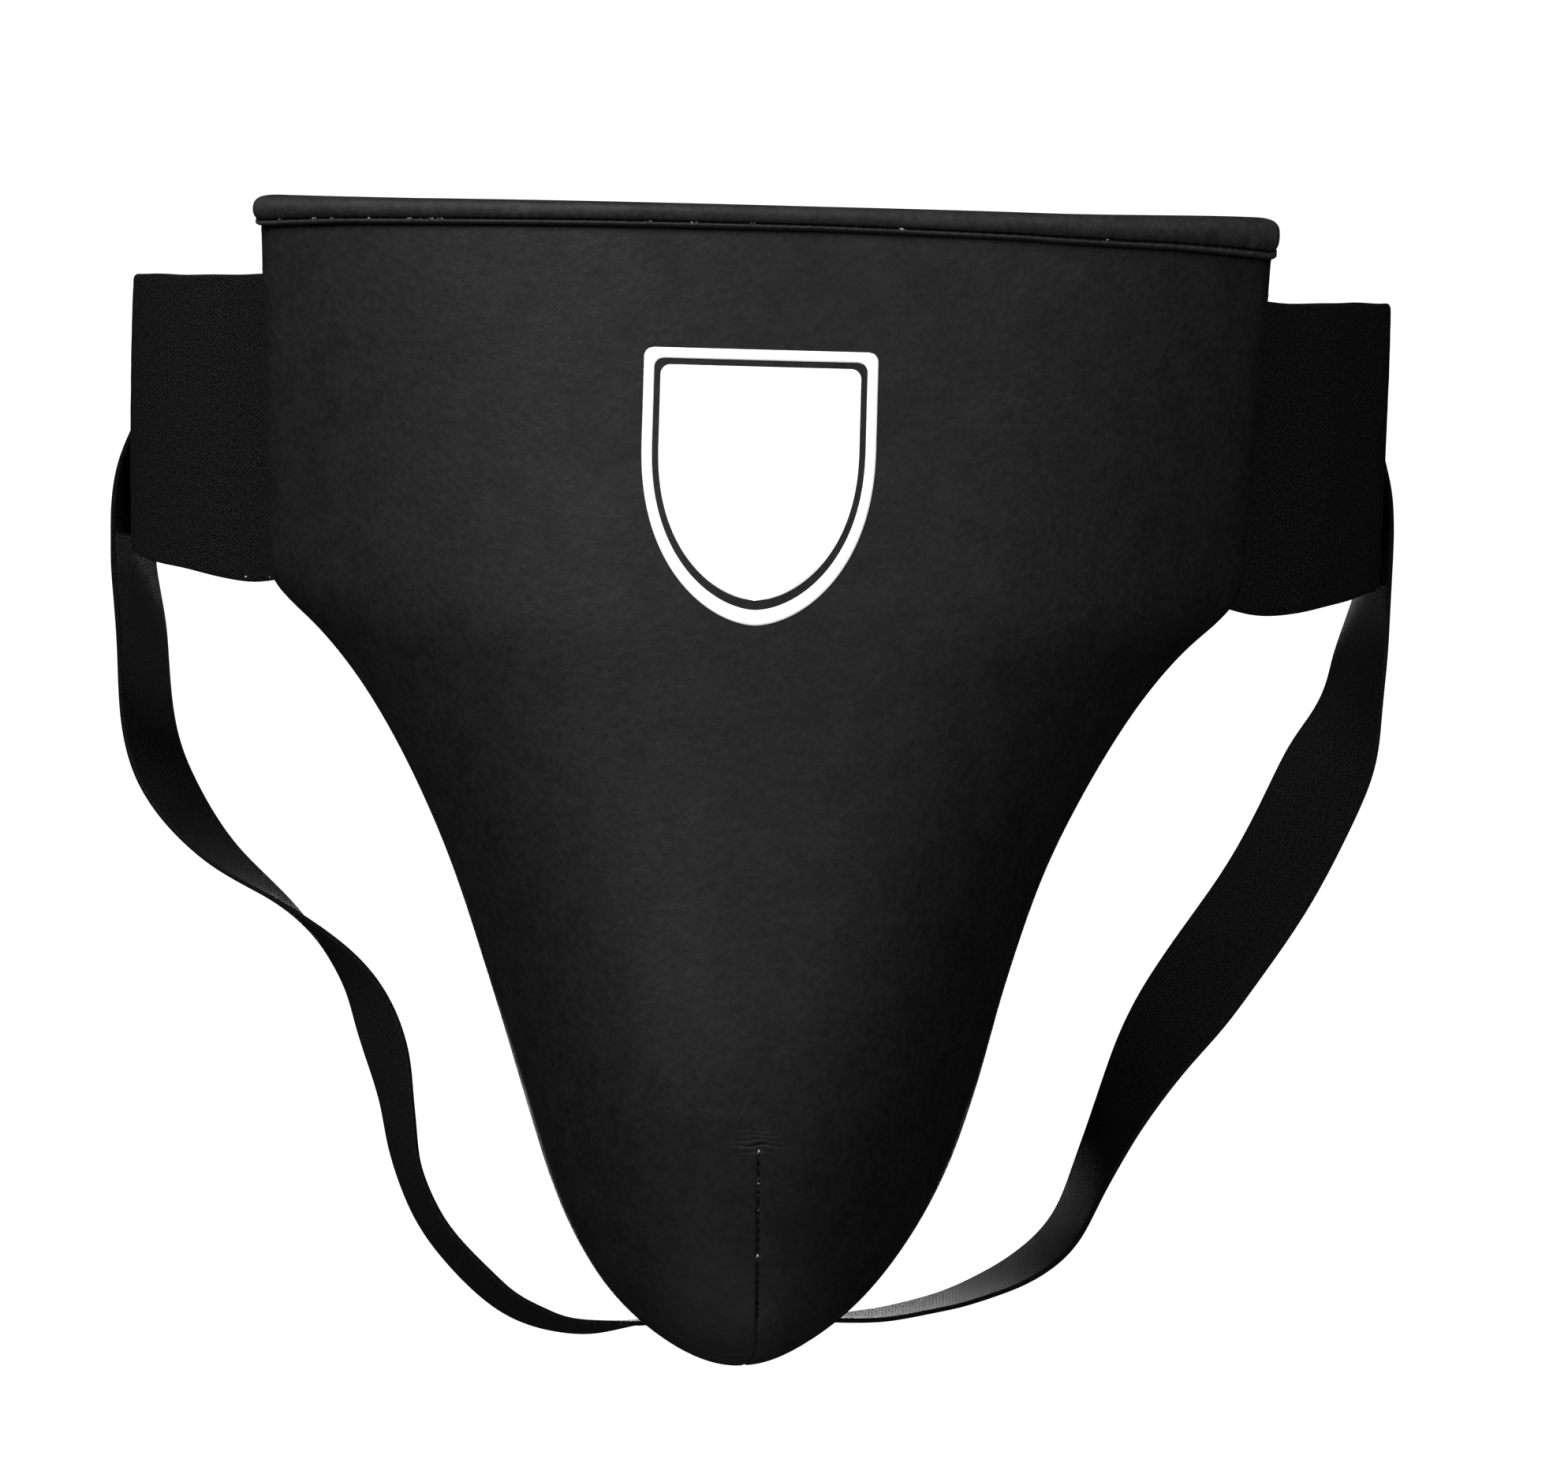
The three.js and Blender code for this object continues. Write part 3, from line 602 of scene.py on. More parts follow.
def shell_rows():
    top = np.linspace(0, 0.652, 130, endpoint=False)
    fine = np.linspace(0.652, 0.692, 84, endpoint=False)
    low = np.linspace(0.692, 0.98, 120, endpoint=False)
    angle = np.radians([90, 80, 70, 60, 50, 40, 31, 22, 14, 7, 0])
    end = 1 - 0.0185 * (1 - np.cos(angle))
    return np.concatenate([top, fine, low, end])


def shell_grid(rows):
    """u and v over the shell, close together along the dart and at the rounded edges."""
    near = np.array([0.11, 0.22, 0.33, 0.45, 0.6, 0.8, 1.1, 1.5, 2, 2.6, 3.3, 4.1, 5, 6, 7.2, 8.6, 10.2, 12])
    centre = catmull(FINE_STATIONS, rows)
    wrap = np.radians(centre[:, 5])
    share = dart_x(centre[:, 1]) / centre[:, 2] * np.sin(wrap)
    dart = (np.arcsin(share) / wrap)[:, None]
    middle = dart + np.concatenate([-near[::-1], [0], near])[None] / centre[:, 2:3]
    spread = np.linspace(0, 1, 42)[None, 1:-1]
    angle = np.radians([0, 6, 12, 19, 27, 36, 46, 57, 69, 80])
    v = rows[:, None]
    across, _ = shell_slopes(np.ones_like(v), v)
    reach = RIM_REACH * thickness_share(v) / np.linalg.norm(across, axis=-1)
    rim = 1 - reach * (1 - np.cos(angle))[None]
    left = -rim[:, -1:] + (middle[:, :1] + rim[:, -1:]) * spread
    right = middle[:, -1:] + (rim[:, -1:] - middle[:, -1:]) * spread
    u = np.concatenate([-rim, left, middle, right, rim[:, ::-1]], 1)
    return u, np.broadcast_to(v, u.shape)


COVER_THICKNESS = 1.3
LINING_THICKNESS = 1.0
LINING_GAP = 0.55      # between the lining's face and the shell's full thickness


def build_shell():
    u, v = shell_grid(shell_rows())
    base, normal, share = shell(u, v), shell_normal(u, v), thickness_share(v)
    distance = distance_to(BORDER, base)
    drop = rim_drop(distance, share)
    soft = 0.05 * waves(base, 60.0, 3) * smoothstep(distance, 2, 14)
    relief = dart_relief(base)
    face = base + normal * (drop + soft + relief)[..., None]
    inside = base + normal * (drop + COVER_THICKNESS + relief * 0.6)[..., None]
    cover = solid_between("outer_cover_skin", face, inside, LEATHER, "cover_leather")
    fit(cover, "root", "outer_cover")

    lift = THICKNESS * share - LINING_GAP - rim_drop(distance, share, RIM_RADIUS)
    channel = 0.75 * np.exp(-(distance_to(cup_outline(), base) / 1.3) ** 2)
    faces = (base + normal * (lift - depth)[..., None] for depth in (LINING_THICKNESS, channel))
    weave = np.stack([base[..., 0], base[..., 2], base[..., 1]], -1) * MM
    back, front, weave = (grid[:, 3:-3] for grid in (*faces, weave))
    lining = solid_between("inner_lining_knit", back, front, LINING, "lining_fabric", weave=weave)
    fit(lining, "root", "inner_lining")


# The hard cup's edge on the shell: u either side, v at its top and bottom
CUP_SIDE, CUP_TOP, CUP_BOTTOM = 0.558, 0.478, 0.894


def cup_loop(count, squareness, wider, taller):
    """u and v of a rounded rectangle round the hard cup."""
    t = np.linspace(0, 2 * math.pi, count)
    power = lambda value: np.sign(value) * np.abs(value) ** squareness
    reach = (CUP_BOTTOM - CUP_TOP) / 2 + taller
    return (CUP_SIDE + wider) * power(np.cos(t)), (CUP_TOP + CUP_BOTTOM) / 2 + reach * power(np.sin(t))


def cup_outline():
    """Points on the shell's face just outside the cup's rubber rim, where the lining is sewn down."""
    return shell(*cup_loop(221, 0.62, 0.11, 0.02))


def perimeter(side, start=0.012):
    """u and v down one side edge of the shell and round to the middle of its crotch end."""
    down = np.linspace(start, 1, 300)
    along = np.linspace(1, 0.02, 26)[1:]
    u = np.concatenate([np.ones_like(down), along]) * side
    v = np.concatenate([down, np.ones_like(along)])
    return u, v


def edge_frame(side, start=0.012):
    """Along the perimeter: u, v, and how u and v change per millimetre inboard."""
    u, v = perimeter(side, start)
    points = shell(u, v)
    tangent = relaxed(unit(np.gradient(points, axis=0)), 3.0)
    inboard = unit(np.cross(shell_normal(u, v), unit(tangent)))
    centre = shell(np.zeros_like(v), np.minimum(v, 0.9)) - points
    inboard = inboard * np.sign((inboard * centre).sum(-1, keepdims=True))
    across, down = shell_slopes(u, v)
    aa, ab, bb = (across ** 2).sum(-1), (across * down).sum(-1), (down ** 2).sum(-1)
    ca, cb = (across * inboard).sum(-1), (down * inboard).sum(-1)
    det = aa * bb - ab * ab
    return u, v, relaxed((ca * bb - cb * ab) / det, 2.0), relaxed((cb * aa - ca * ab) / det, 2.0)


def edge_points(side, profile, start=0.012):
    """Points round the shell's edge for a profile of distances inboard and depths."""
    u, v, du, dv = edge_frame(side, start)
    share = thickness_share(v)
    return np.stack([within_shell(u + du * distance * share, np.clip(v + dv * distance * share, 0, 1), depth * share)
                     for distance, depth in profile], 1)


def binding_profile():
    """The turned edge: from the side of the shell round on to its back, then back inside."""
    outer = RIM_RADIUS + 0.22
    inner = outer - 0.9
    back = THICKNESS - RIM_RADIUS
    top = back + outer

    def arc(radius, depth, *degrees):
        angles = [math.radians(a) for a in degrees]
        return [(RIM_RADIUS - radius * math.cos(a), depth + radius * math.sin(a)) for a in angles]

    hem = [(6.6, 0.02), (7.3, -0.16), (7.9, 0.02), (9.3, 0.05), (9.9, -0.08), (10.2, -0.4), (10.1, -0.8),
           (9.4, -0.95), (6.5, -0.95)]
    return (arc(outer, RIM_RADIUS, -14, -7, 0) + arc(outer, back, 0, 12, 24, 36, 48, 60, 72, 84, 90)
            + [(distance, top + depth) for distance, depth in hem]
            + arc(inner, back, 90, 60, 30, 0) + arc(inner, RIM_RADIUS, 0))


def build_bindings():
    for name, side in (("left", -1), ("right", 1)):
        loops = edge_points(side, binding_profile())
        binding = loft("edge_binding_" + name + "_turned", loops, BINDING_LEATHER)
        fit(binding, "root", "edge_binding_" + name)
        line = edge_points(side, [(7.3, THICKNESS + 0.12)])[:, 0]
        stitches("edge_stitches_" + name, "root", line, shell_normal(*perimeter(side)), "binding_leather")
        rim = edge_points(side, [(0.28, 4.0)], start=0.05)[:, 0]
        u, v, du, dv = edge_frame(side, 0.05)
        across, down = shell_slopes(u, v)
        outward = -unit(across * du[:, None] + down * dv[:, None]) * 0.9 - shell_normal(u, v) * 0.43
        # Three stitches on the left rim are painted with a highlight.
        stitches("rim_stitches_" + name, "root", rim, outward, "binding_leather", length=1.7,
                 radius=0.24, sink=-0.1, glints=(39, 54, 58) if side < 0 else ())


def build_core():
    """The layers inside the shell: foam, hard cup, its rubber rim and the belly pad."""
    def layer(name, node, us, vs, near, far, material, slot):
        u, v = np.meshgrid(us, vs)
        base, normal, share = shell(u, v), shell_normal(u, v), thickness_share(v)
        drop = rim_drop(distance_to(BORDER, base), share)
        low = np.minimum(near * share + drop, far * share - 0.4)
        front, back = base + normal * low[..., None], base + normal * (far * share)[..., None]
        return fit(solid_between(name, front, back, material, slot), "root", node)

    wide = np.linspace(-0.955, 0.955, 64)
    foam = layer("foam_layer", "foam_shell", wide, np.linspace(0.02, 0.985, 110), 1.7, 7.6, FOAM, "foam")
    pad = layer("abdominal_foam", "abdominal_pad", wide, np.linspace(0.02, 0.43, 50), 8.1, 10.3, FOAM, "foam")
    layer("hard_cup", "cup_insert", np.linspace(-CUP_SIDE, CUP_SIDE, 44), np.linspace(CUP_TOP, CUP_BOTTOM, 60),
          8.1, 10.4, CUP, "cup_plastic")

    loops = []
    for angle in np.radians(np.arange(0, 360, 30)):
        grow = 0.052 + 0.042 * math.cos(angle)
        u, v = cup_loop(161, 0.35, grow, 0.8 * grow)
        loops.append(within_shell(u, v, (9.35 + 0.85 * math.sin(angle)) * thickness_share(v)))
    rim = ring_tube("cup_rim_tube", np.stack(loops, 1)[:-1], RUBBER)
    fit(rim, "root", "cup_rim_cushion")


# ---- the roll along the top edge ----

# Depth behind the shell's face and height above its top, round the roll's section
ROLL_SECTION = np.array([
    (0.6, -8.8), (-1.1, -8.75), (-1.8, -8.45), (-1.95, -7.95), (-1.65, -7.5), (-0.95, -7.3), (-0.9, -7.0),
    (-1.6, -6.7), (-2.5, -5.7), (-2.9, -4.1), (-2.75, -2.4), (-2.0, -1.0), (-0.4, -0.1), (2.4, 0.35), (6.0, 0.5),
    (9.6, 0.4), (12.4, -0.25), (14.1, -1.8), (14.7, -3.7), (14.3, -5.4), (13.4, -6.4), (13.0, -6.75),
    (13.1, -7.1), (13.9, -7.5), (14.2, -8.2), (13.7, -9.0), (12.4, -9.3), (9.5, -9.0), (6.0, -8.9), (3.0, -9.0),
])
# How tall the roll is at each u, as a share of that section
ROLL_HEIGHT = np.array([(-1.0, 0.88), (-0.8, 0.76), (-0.3, 0.70), (0.1, 0.70), (0.45, 0.78), (0.75, 0.96),
                        (1.0, 1.22)])
ROLL_REACH = 0.984     # u where the roll ends
ROLL_HALF_LENGTH = 134.0
ROLL_CENTRE = np.array([6.0, -4.4])
STITCH_SPACING = 2.9
# Where a stitch of the roll is painted near white as a highlight, in mm from its left end
ROLL_PAINTED_GLINTS = (6, 18, 24, 35, 47, 50, 53, 57, 113, 124, 138, 176, 231)


def roll_frame(u):
    top = np.zeros_like(u)
    base = shell(u, top)
    return base, shell_normal(u, top), unit(base - shell(u, np.full_like(u, 0.004)))


def roll_points(u, depth, height):
    base, inward, up = roll_frame(u)
    scale = np.interp(u, ROLL_HEIGHT[:, 0], ROLL_HEIGHT[:, 1])
    lift = 1.1 * smoothstep(u, 0.5, 0.95)
    return base + inward * np.asarray(depth)[..., None] + up * (np.asarray(height) * scale + lift)[..., None]


def roll_section(section, u):
    """The roll's section at one place along it: rounded off at its ends, unevenly filled,
    pinched by each stitch and creased towards the right end."""
    run = (u + ROLL_REACH) * ROLL_HALF_LENGTH
    depth, height = section.T
    bell = lambda value, wide: np.exp(-(value / wide) ** 2)
    end = min(run, 2 * ROLL_REACH * ROLL_HALF_LENGTH - run)
    close = math.sqrt(max(1 - max(0.0, 1 - end / 2.2) ** 2, 0.0))
    profile = ROLL_CENTRE + (section - ROLL_CENTRE) * np.array([0.84 + 0.16 * close, 0.66 + 0.34 * close])
    puff = 0.16 * math.sin(run / 17.0 + 0.8) + 0.12 * math.sin(run / 7.3) + 0.07 * math.sin(run / 3.1)
    profile[:, 0] -= puff * bell(depth + 2.6, 2.2) * bell(height + 3.2, 2.4)
    profile[:, 1] += 0.28 * math.sin(run / 34.0 + 2.0) * bell(height - 0.4, 2.0)
    pinch = 0.16 * math.cos(2 * math.pi * run / STITCH_SPACING) * bell(height + 6.9, 1.1)
    crease = 0.30 * bell(height + 6.2, 1.6) * smoothstep(u, 0.55, 0.95)
    pinch += crease * (math.sin(run / 1.35) + 0.7 * math.sin(run / 0.83 + 1))
    profile[:, 0] += np.where(depth < 4, -pinch, pinch)
    return profile


def build_roll():
    section = catmull(np.vstack([ROLL_SECTION, ROLL_SECTION[:1]]), np.linspace(0, 1, 91))[:-1]
    loops = [roll_points(np.full(len(section), u), *roll_section(section, u).T)
             for u in np.linspace(-ROLL_REACH, ROLL_REACH, 420)]
    roll = loft("top_roll", np.array(loops), ROLL_LEATHER)
    fit(roll, "root", "top_roll_cover")

    angle = np.radians(np.arange(0, 360, 20))
    core = [roll_points(np.full(len(angle), u), 5.9 + 5.2 * np.cos(angle), -3.6 + 1.9 * np.sin(angle))
            for u in np.linspace(-0.96, 0.96, 120)]
    fit(loft("top_roll_foam_core", np.array(core), FOAM), "root", "top_roll_core")

    u = np.linspace(-0.976, 0.976, 300)
    for name, depth, height, outwards, glints in (("front", -0.98, -7.2, -1, ROLL_PAINTED_GLINTS), ("back", 13.2, -6.9, 1, ())):
        path = roll_points(u, np.full(300, depth), np.full(300, height))
        stitches("roll_stitches_" + name, "root", path, roll_frame(u)[1] * outwards, "binding_leather",
                 spacing=STITCH_SPACING, radius=0.33, sink=-0.12, glints=glints)


# ---- the dart's thread and the printed shield ----

def build_dart_thread():
    z = np.linspace(DART_TOP - 0.4, DART_BOTTOM + 2.5, 160)[:-60]
    u, v = place_on_shell(dart_x(z), z)
    # Five of the dart's stitches are painted with a highlight.
    stitches("dart_stitches", "root", within_shell(u, v, 0.22), -shell_normal(u, v), "cover_leather",
             spacing=2.45, length=1.75, radius=0.31, sink=-0.02, glints=(2.4, 8.0, 10.4, 16.0, 28.0))


SHIELD_TOP, SHIELD_BOTTOM, SHIELD_HALF_WIDTH = 25.0, -43.0, 29.3
SHIELD_CORNER = 2.4


def shield_ends(inset):
    return SHIELD_TOP - inset, SHIELD_BOTTOM + inset * 1.45


def shield_half_width(z, inset):
    """Half the shield's width at a height: straight sides that curve in to a point."""
    top, bottom = shield_ends(inset)
    s = np.clip((top - z) / (top - bottom), 0, 1)
    curved = np.maximum(s - 0.34, 0) / 0.66
    taper = np.where(s < 0.34, 1.0, np.sqrt(np.maximum(1 - curved ** 2.3, 0)) ** 1.12)
    return np.maximum((SHIELD_HALF_WIDTH - inset) * taper - corner_cut(top - z, SHIELD_CORNER), 0.05)


def shield_patch(inset):
    """Front and back of the shield's field, raised from its edge inwards."""
    top, bottom = shield_ends(inset)
    spread = np.linspace(0, 1, 120)
    z = top + (bottom - top) * (spread * 0.98 + 0.02 * smoothstep(spread, 0, 1))
    z[1:4] = top - np.array([0.15, 0.5, 1.2])
    share = np.linspace(-1, 1, 81)
    half = shield_half_width(z, inset)[:, None]
    x, z = np.broadcast_arrays(half * share, z[:, None])
    u, v = place_on_shell(x, z)
    edge = np.minimum(half * (1 - np.abs(share)), np.minimum(top - z, z - bottom))
    proud = 0.42 * np.clip(edge / 0.5, 0, 1) ** 0.5
    return within_shell(u, v, -0.05 - proud), within_shell(u, v, 0.35)


def shield_outline(inset):
    """u and v round the shield."""
    top, bottom = shield_ends(inset)
    fall = smoothstep(np.linspace(0, 1, 150), -0.15, 1.0)
    z = top + (bottom - top) * (fall - fall[0]) / (fall[-1] - fall[0])
    half = shield_half_width(z, inset)
    x = np.concatenate([np.linspace(-1, 1, 60)[1:-1] * half[0], half, -half[::-1]])
    return place_on_shell(x, np.concatenate([np.full(58, top), z, z[::-1]]))


def build_shield():
    """Two flat prints that follow the cover: a shield, and a rim round it."""
    fit(solid_between("emblem_shield", *shield_patch(4.2), PRINT, "white_print"), "root", "emblem_print")
    section = ((2.6, -0.3), (2.6, 0.2), (2.35, 0.42), (1.3, 0.46), (0.25, 0.42), (0.0, 0.2), (0.0, -0.3))
    rings = [within_shell(*shield_outline(inset), -proud) for inset, proud in section]
    fit(ring_tube("emblem_rim", np.stack(rings, 1), PRINT), "root")


# ---- the elastic waistband ----

def row_at(u, z):
    """The v where the column u of the shell crosses height z."""
    v = np.linspace(0, 0.8, 600)
    return float(np.interp(-z, -shell(np.full_like(v, u), v)[:, 2], v))


def wing_points(side, z):
    """Where the band lies on the lining, from its sewn end out to the shell's edge."""
    return [within_shell(side * u, np.array(row_at(side * u, z)), BAND_DEPTH)
            for u in (0.79, 0.8333, 0.875, 0.9167, 0.958, 1.0)]


# For each side, how far the elastic droops below its true edge near the shell and at the fold, and
# how far it stands above it at the same two places, in millimetres.
BAND_SAG = {-1: (4.7, -0.9, 1.0, 0.5), 1: (5.6, 0.6, 0.7, 2.0)}
# How far each fold is drawn in, at its middle height and more at its top than its bottom.
FOLD_IN = {-1: (0.7, 0.5), 1: (3.8, 0.9)}


def fold_in(side, x, y, share=0.0):
    """How far inwards the band lies than its true plan, near its fold."""
    middle, lean = FOLD_IN[side]
    return (middle + lean * share) * smoothstep(x, 150, 176) * (1 - smoothstep(y, 38, 58))


def band_sheet(side, end, raised, half_height):
    """A grid of middle points for one waistband, from inside the shell to its far end at x."""
    rear = [(x, y + raised * (k + 1) / len(REAR_PATH)) for k, (x, y) in enumerate(REAR_PATH)]
    rear += [(x, REAR_Y + raised) for x in (*np.arange(40, end, -20.0), end)]

    def column(z):
        wing = [(p[0] * side, p[1], p[2]) for p in wing_points(side, z)]
        return np.array(wing + [(x, y, z) for x, y in SIDE_PATH + rear], float)

    smooth = np.linspace(0, 1, 900)
    heights = edge_steps(2 * BAND_HALF_HEIGHT, 3.0) - BAND_HALF_HEIGHT
    run = run_along(catmull(column(heights[0]) * (1, 1, 0), smooth))
    along = edge_steps(run[-1], 2.4)
    grid = relaxed(np.stack([sampled(catmull(column(z), smooth), run, along) for z in heights], 1), 2.2)

    edge = along[np.argmin(np.abs(grid[:, 0, 0] - 128.0) + np.where(grid[:, 0, 1] < 0, 0, 500))]
    share = grid[..., 2] / BAND_HALF_HEIGHT
    grid[..., 0] -= fold_in(side, grid[..., 0], grid[..., 1], share)
    fold = along[np.argmax(grid[:, grid.shape[1] // 2, 0])]
    half = half_height(grid[..., 0])
    grid[..., 0] *= side
    grid[..., 2] += share * (half - BAND_HALF_HEIGHT)

    # The droop and rise of its edges between the shell and the fold
    near, far, rise, rise_far = BAND_SAG[side]
    if side < 0:
        toward_shell = 1 - np.clip((along - edge + 15.0) / (fold - edge + 15.0), 0, 1)
    else:
        toward_shell = 1 - smoothstep(along, edge, fold)
    before = 1 - smoothstep(along, fold, fold + 45.0)
    sag = (near * toward_shell + far * (1 - toward_shell)) * before
    lift = rise * toward_shell + rise_far * (1 - toward_shell) * before
    grid[..., 2] += np.where(share < 0, share * sag[:, None], share * lift[:, None])

    # The edges drawn in round the fold, slightly wavy, and the whole band rippled behind it
    crest = fold - 4.5
    pull = 3.0 * np.exp(-((along - crest) / np.where(along < crest, 4.5, 12.0)) ** 2)
    pull += 0.12 * np.sin(along / 9.0 + side) + 0.07 * np.sin(along / 4.1)
    grid[..., 2] -= pull[:, None] * np.clip(np.abs(share) * 4 - 3, 0, 1) ** 2 * np.sign(share)
    behind = smoothstep(along, fold - 4, fold + 5) * (1 - smoothstep(along, fold + 45, fold + 100))
    grid[..., 2] -= 3.2 * behind[:, None] * np.clip(share, 0, 1)
    ripple = 0.32 * np.sin(along[:, None] / 15.0 + share * 2.2 + side) * smoothstep(along, 60, 90)[:, None]
    return grid + grid_normals(grid) * ripple[..., None], heights + BAND_HALF_HEIGHT, along


def row_of_stitches(name, body, grid, select, offset, slot, spacing=2.6, **more):
    """Stitches on a grid's surface, along one of its rows or columns."""
    normal = grid_normals(grid)[select]
    stitches(name, body, grid[select] + normal * offset, normal * np.sign(offset), slot, spacing=spacing, **more)


def between(grid, ii, jj):
    """A grid's values at fractional rows and columns."""
    low_i, low_j = np.floor(ii).astype(int), np.floor(jj).astype(int)
    high_i, high_j = np.minimum(low_i + 1, len(grid) - 1), np.minimum(low_j + 1, grid.shape[1] - 1)
    fi, fj = (ii - low_i)[:, None], (jj - low_j)[:, None]
    return ((grid[low_i, low_j] * (1 - fi) + grid[high_i, low_j] * fi) * (1 - fj)
            + (grid[low_i, high_j] * (1 - fi) + grid[high_i, high_j] * fi) * fj)


def sewn_line(name, body, grid, ii, jj, offset, slot, **more):
    """Stitches on a grid's surface along any line across it."""
    normal = between(grid_normals(grid), ii, jj)
    stitches(name, body, between(grid, ii, jj) + normal * offset, normal * np.sign(offset), slot, **more)


def build_anchor(name, grid, across, along, outside):
    """The leather patch over a band's sewn end, with a box of stitches and a cross in it."""
    rows = int(np.searchsorted(along, 26.0))
    middle = grid[:rows] - grid_normals(grid)[:rows] * outside * 1.75
    patch = cloth("band_anchor_" + name, middle, across, along[:rows], 0.55, BINDING_LEATHER, "binding_leather")
    fit(patch, "root", "band_anchor_patch_" + name)
    first, last, columns = int(np.searchsorted(along, 4.0)), rows - 1, len(across)
    lines = {"a": (first, slice(4, -4)), "b": (last - 1, slice(4, -4)),
             "c": (slice(1, last), 5), "d": (slice(1, last), columns - 6)}
    for key, select in lines.items():
        row_of_stitches("anchor_stitches_%s_%s" % (name, key), "root", middle, select, -outside * 0.5,
                        "binding_leather", spacing=2.8)
    ii, jj = np.linspace(first, last - 1, 60), np.linspace(6, columns - 7, 60)
    for key, places in (("e", jj), ("f", jj[::-1])):
        sewn_line("anchor_cross_%s_%s" % (name, key), "root", middle, ii, places, -outside * 0.5,
                  "binding_leather", spacing=2.8)


def build_bands():
    even = lambda x: np.full_like(x, BAND_HALF_HEIGHT)
    narrowed = lambda x: TAB_HALF_HEIGHT + (BAND_HALF_HEIGHT - TAB_HALF_HEIGHT) * smoothstep(x, -5, 45)
    for name, side, end, raised, half in (("left", -1, -45.0, 0.0, even), ("right", 1, 3.0, OVER_FLAP_RAISE, narrowed)):
        flap = name + "_flap"
        grid, across, along = band_sheet(side, end, raised, half)
        band = cloth("waistband_" + name, grid, across, along, BAND_HALF_THICKNESS, ELASTIC, "wide_elastic", 0.05, 7)
        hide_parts("side_band_" + name, "rear_band_" + name)
        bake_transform(band)
        near = slice(*np.searchsorted(along, (30.0, 64.0)))
        for face in (1, -1):
            # Three hem stitches of the left band are painted with a highlight.
            row_of_stitches("band_hem_%s_%d" % (name, face > 0), "root", grid, (near, np.searchsorted(across, 1.2)),
                            face * 0.8, "wide_elastic", length=1.6, glints=(9.0, 11.5, 22.0) if side < 0 else ())
        hem = int(np.argmax(along[-1] - along < 6.0))
        for label, row in (("hem", hem), ("hem_inner", hem - 1)):
            for face in (1, -1):
                row_of_stitches("%s_%s_band_%d" % (label, name, face > 0), flap, grid, (row, slice(3, -3)),
                                face * 0.72, "wide_elastic")
        outside = 1 if grid_normals(grid)[len(grid) // 3, 10, 0] * side > 0 else -1
        build_anchor(name, grid, across, along, outside)


# ---- the closure ----

def close_ended(low, high, count):
    """Places from low to high, close together at both ends."""
    fine = np.array([0, 0.1, 0.4, 1.0])
    return np.concatenate([low + fine, np.linspace(low + 2, high - 2, count), (high - fine)[::-1]])


def tab_half_height(x, beyond=None):
    """Half the closure tab's height at x; beyond is what it is past the tab's end."""
    outline = np.array([(20, 30.4), (12, 28.9)] + TAB_OUTLINE, float)
    return np.interp(-x, -outline[:, 0], outline[:, 1], right=beyond)


def upright_patch(name, x, half, y, thickness, material, slot):
    """An upright patch facing the back, at each x its own half height."""
    share = np.linspace(-1, 1, 41)
    grid = np.stack(np.broadcast_arrays(x[:, None], y, half[:, None] * share), -1)
    return cloth(name, grid, (share + 1) * half.max(), np.abs(x - x[0]), thickness, material, slot, 0.12, 11)


def frame_path(x, half, y, inset):
    """A closed path set in from the outline of an upright patch."""
    low, high = x[0] + inset, x[-1] - inset
    xs = np.linspace(low, high, 60)
    hs = np.interp(xs, x, half) - inset
    path = np.concatenate([
        np.stack([xs, hs], 1), np.stack([np.full(20, high), np.linspace(hs[-1], -hs[-1], 20)], 1),
        np.stack([xs[::-1], -hs[::-1]], 1), np.stack([np.full(20, low), np.linspace(-hs[0], hs[0], 20)], 1)])
    return np.insert(evenly(path, 1.0), 1, y, axis=1)


def flat_stitches(name, body, path, slot, face=1.0):
    """Stitches along a path on an upright patch, on its back or, with face -1, on its front."""
    stitches(name, body, path, np.tile([0, face, 0], (len(path), 1)), slot)


def upright_row(name, body, x, y, high, slot):
    flat_stitches(name, body, np.array([(x, y, -high), (x, y, high)]), slot)


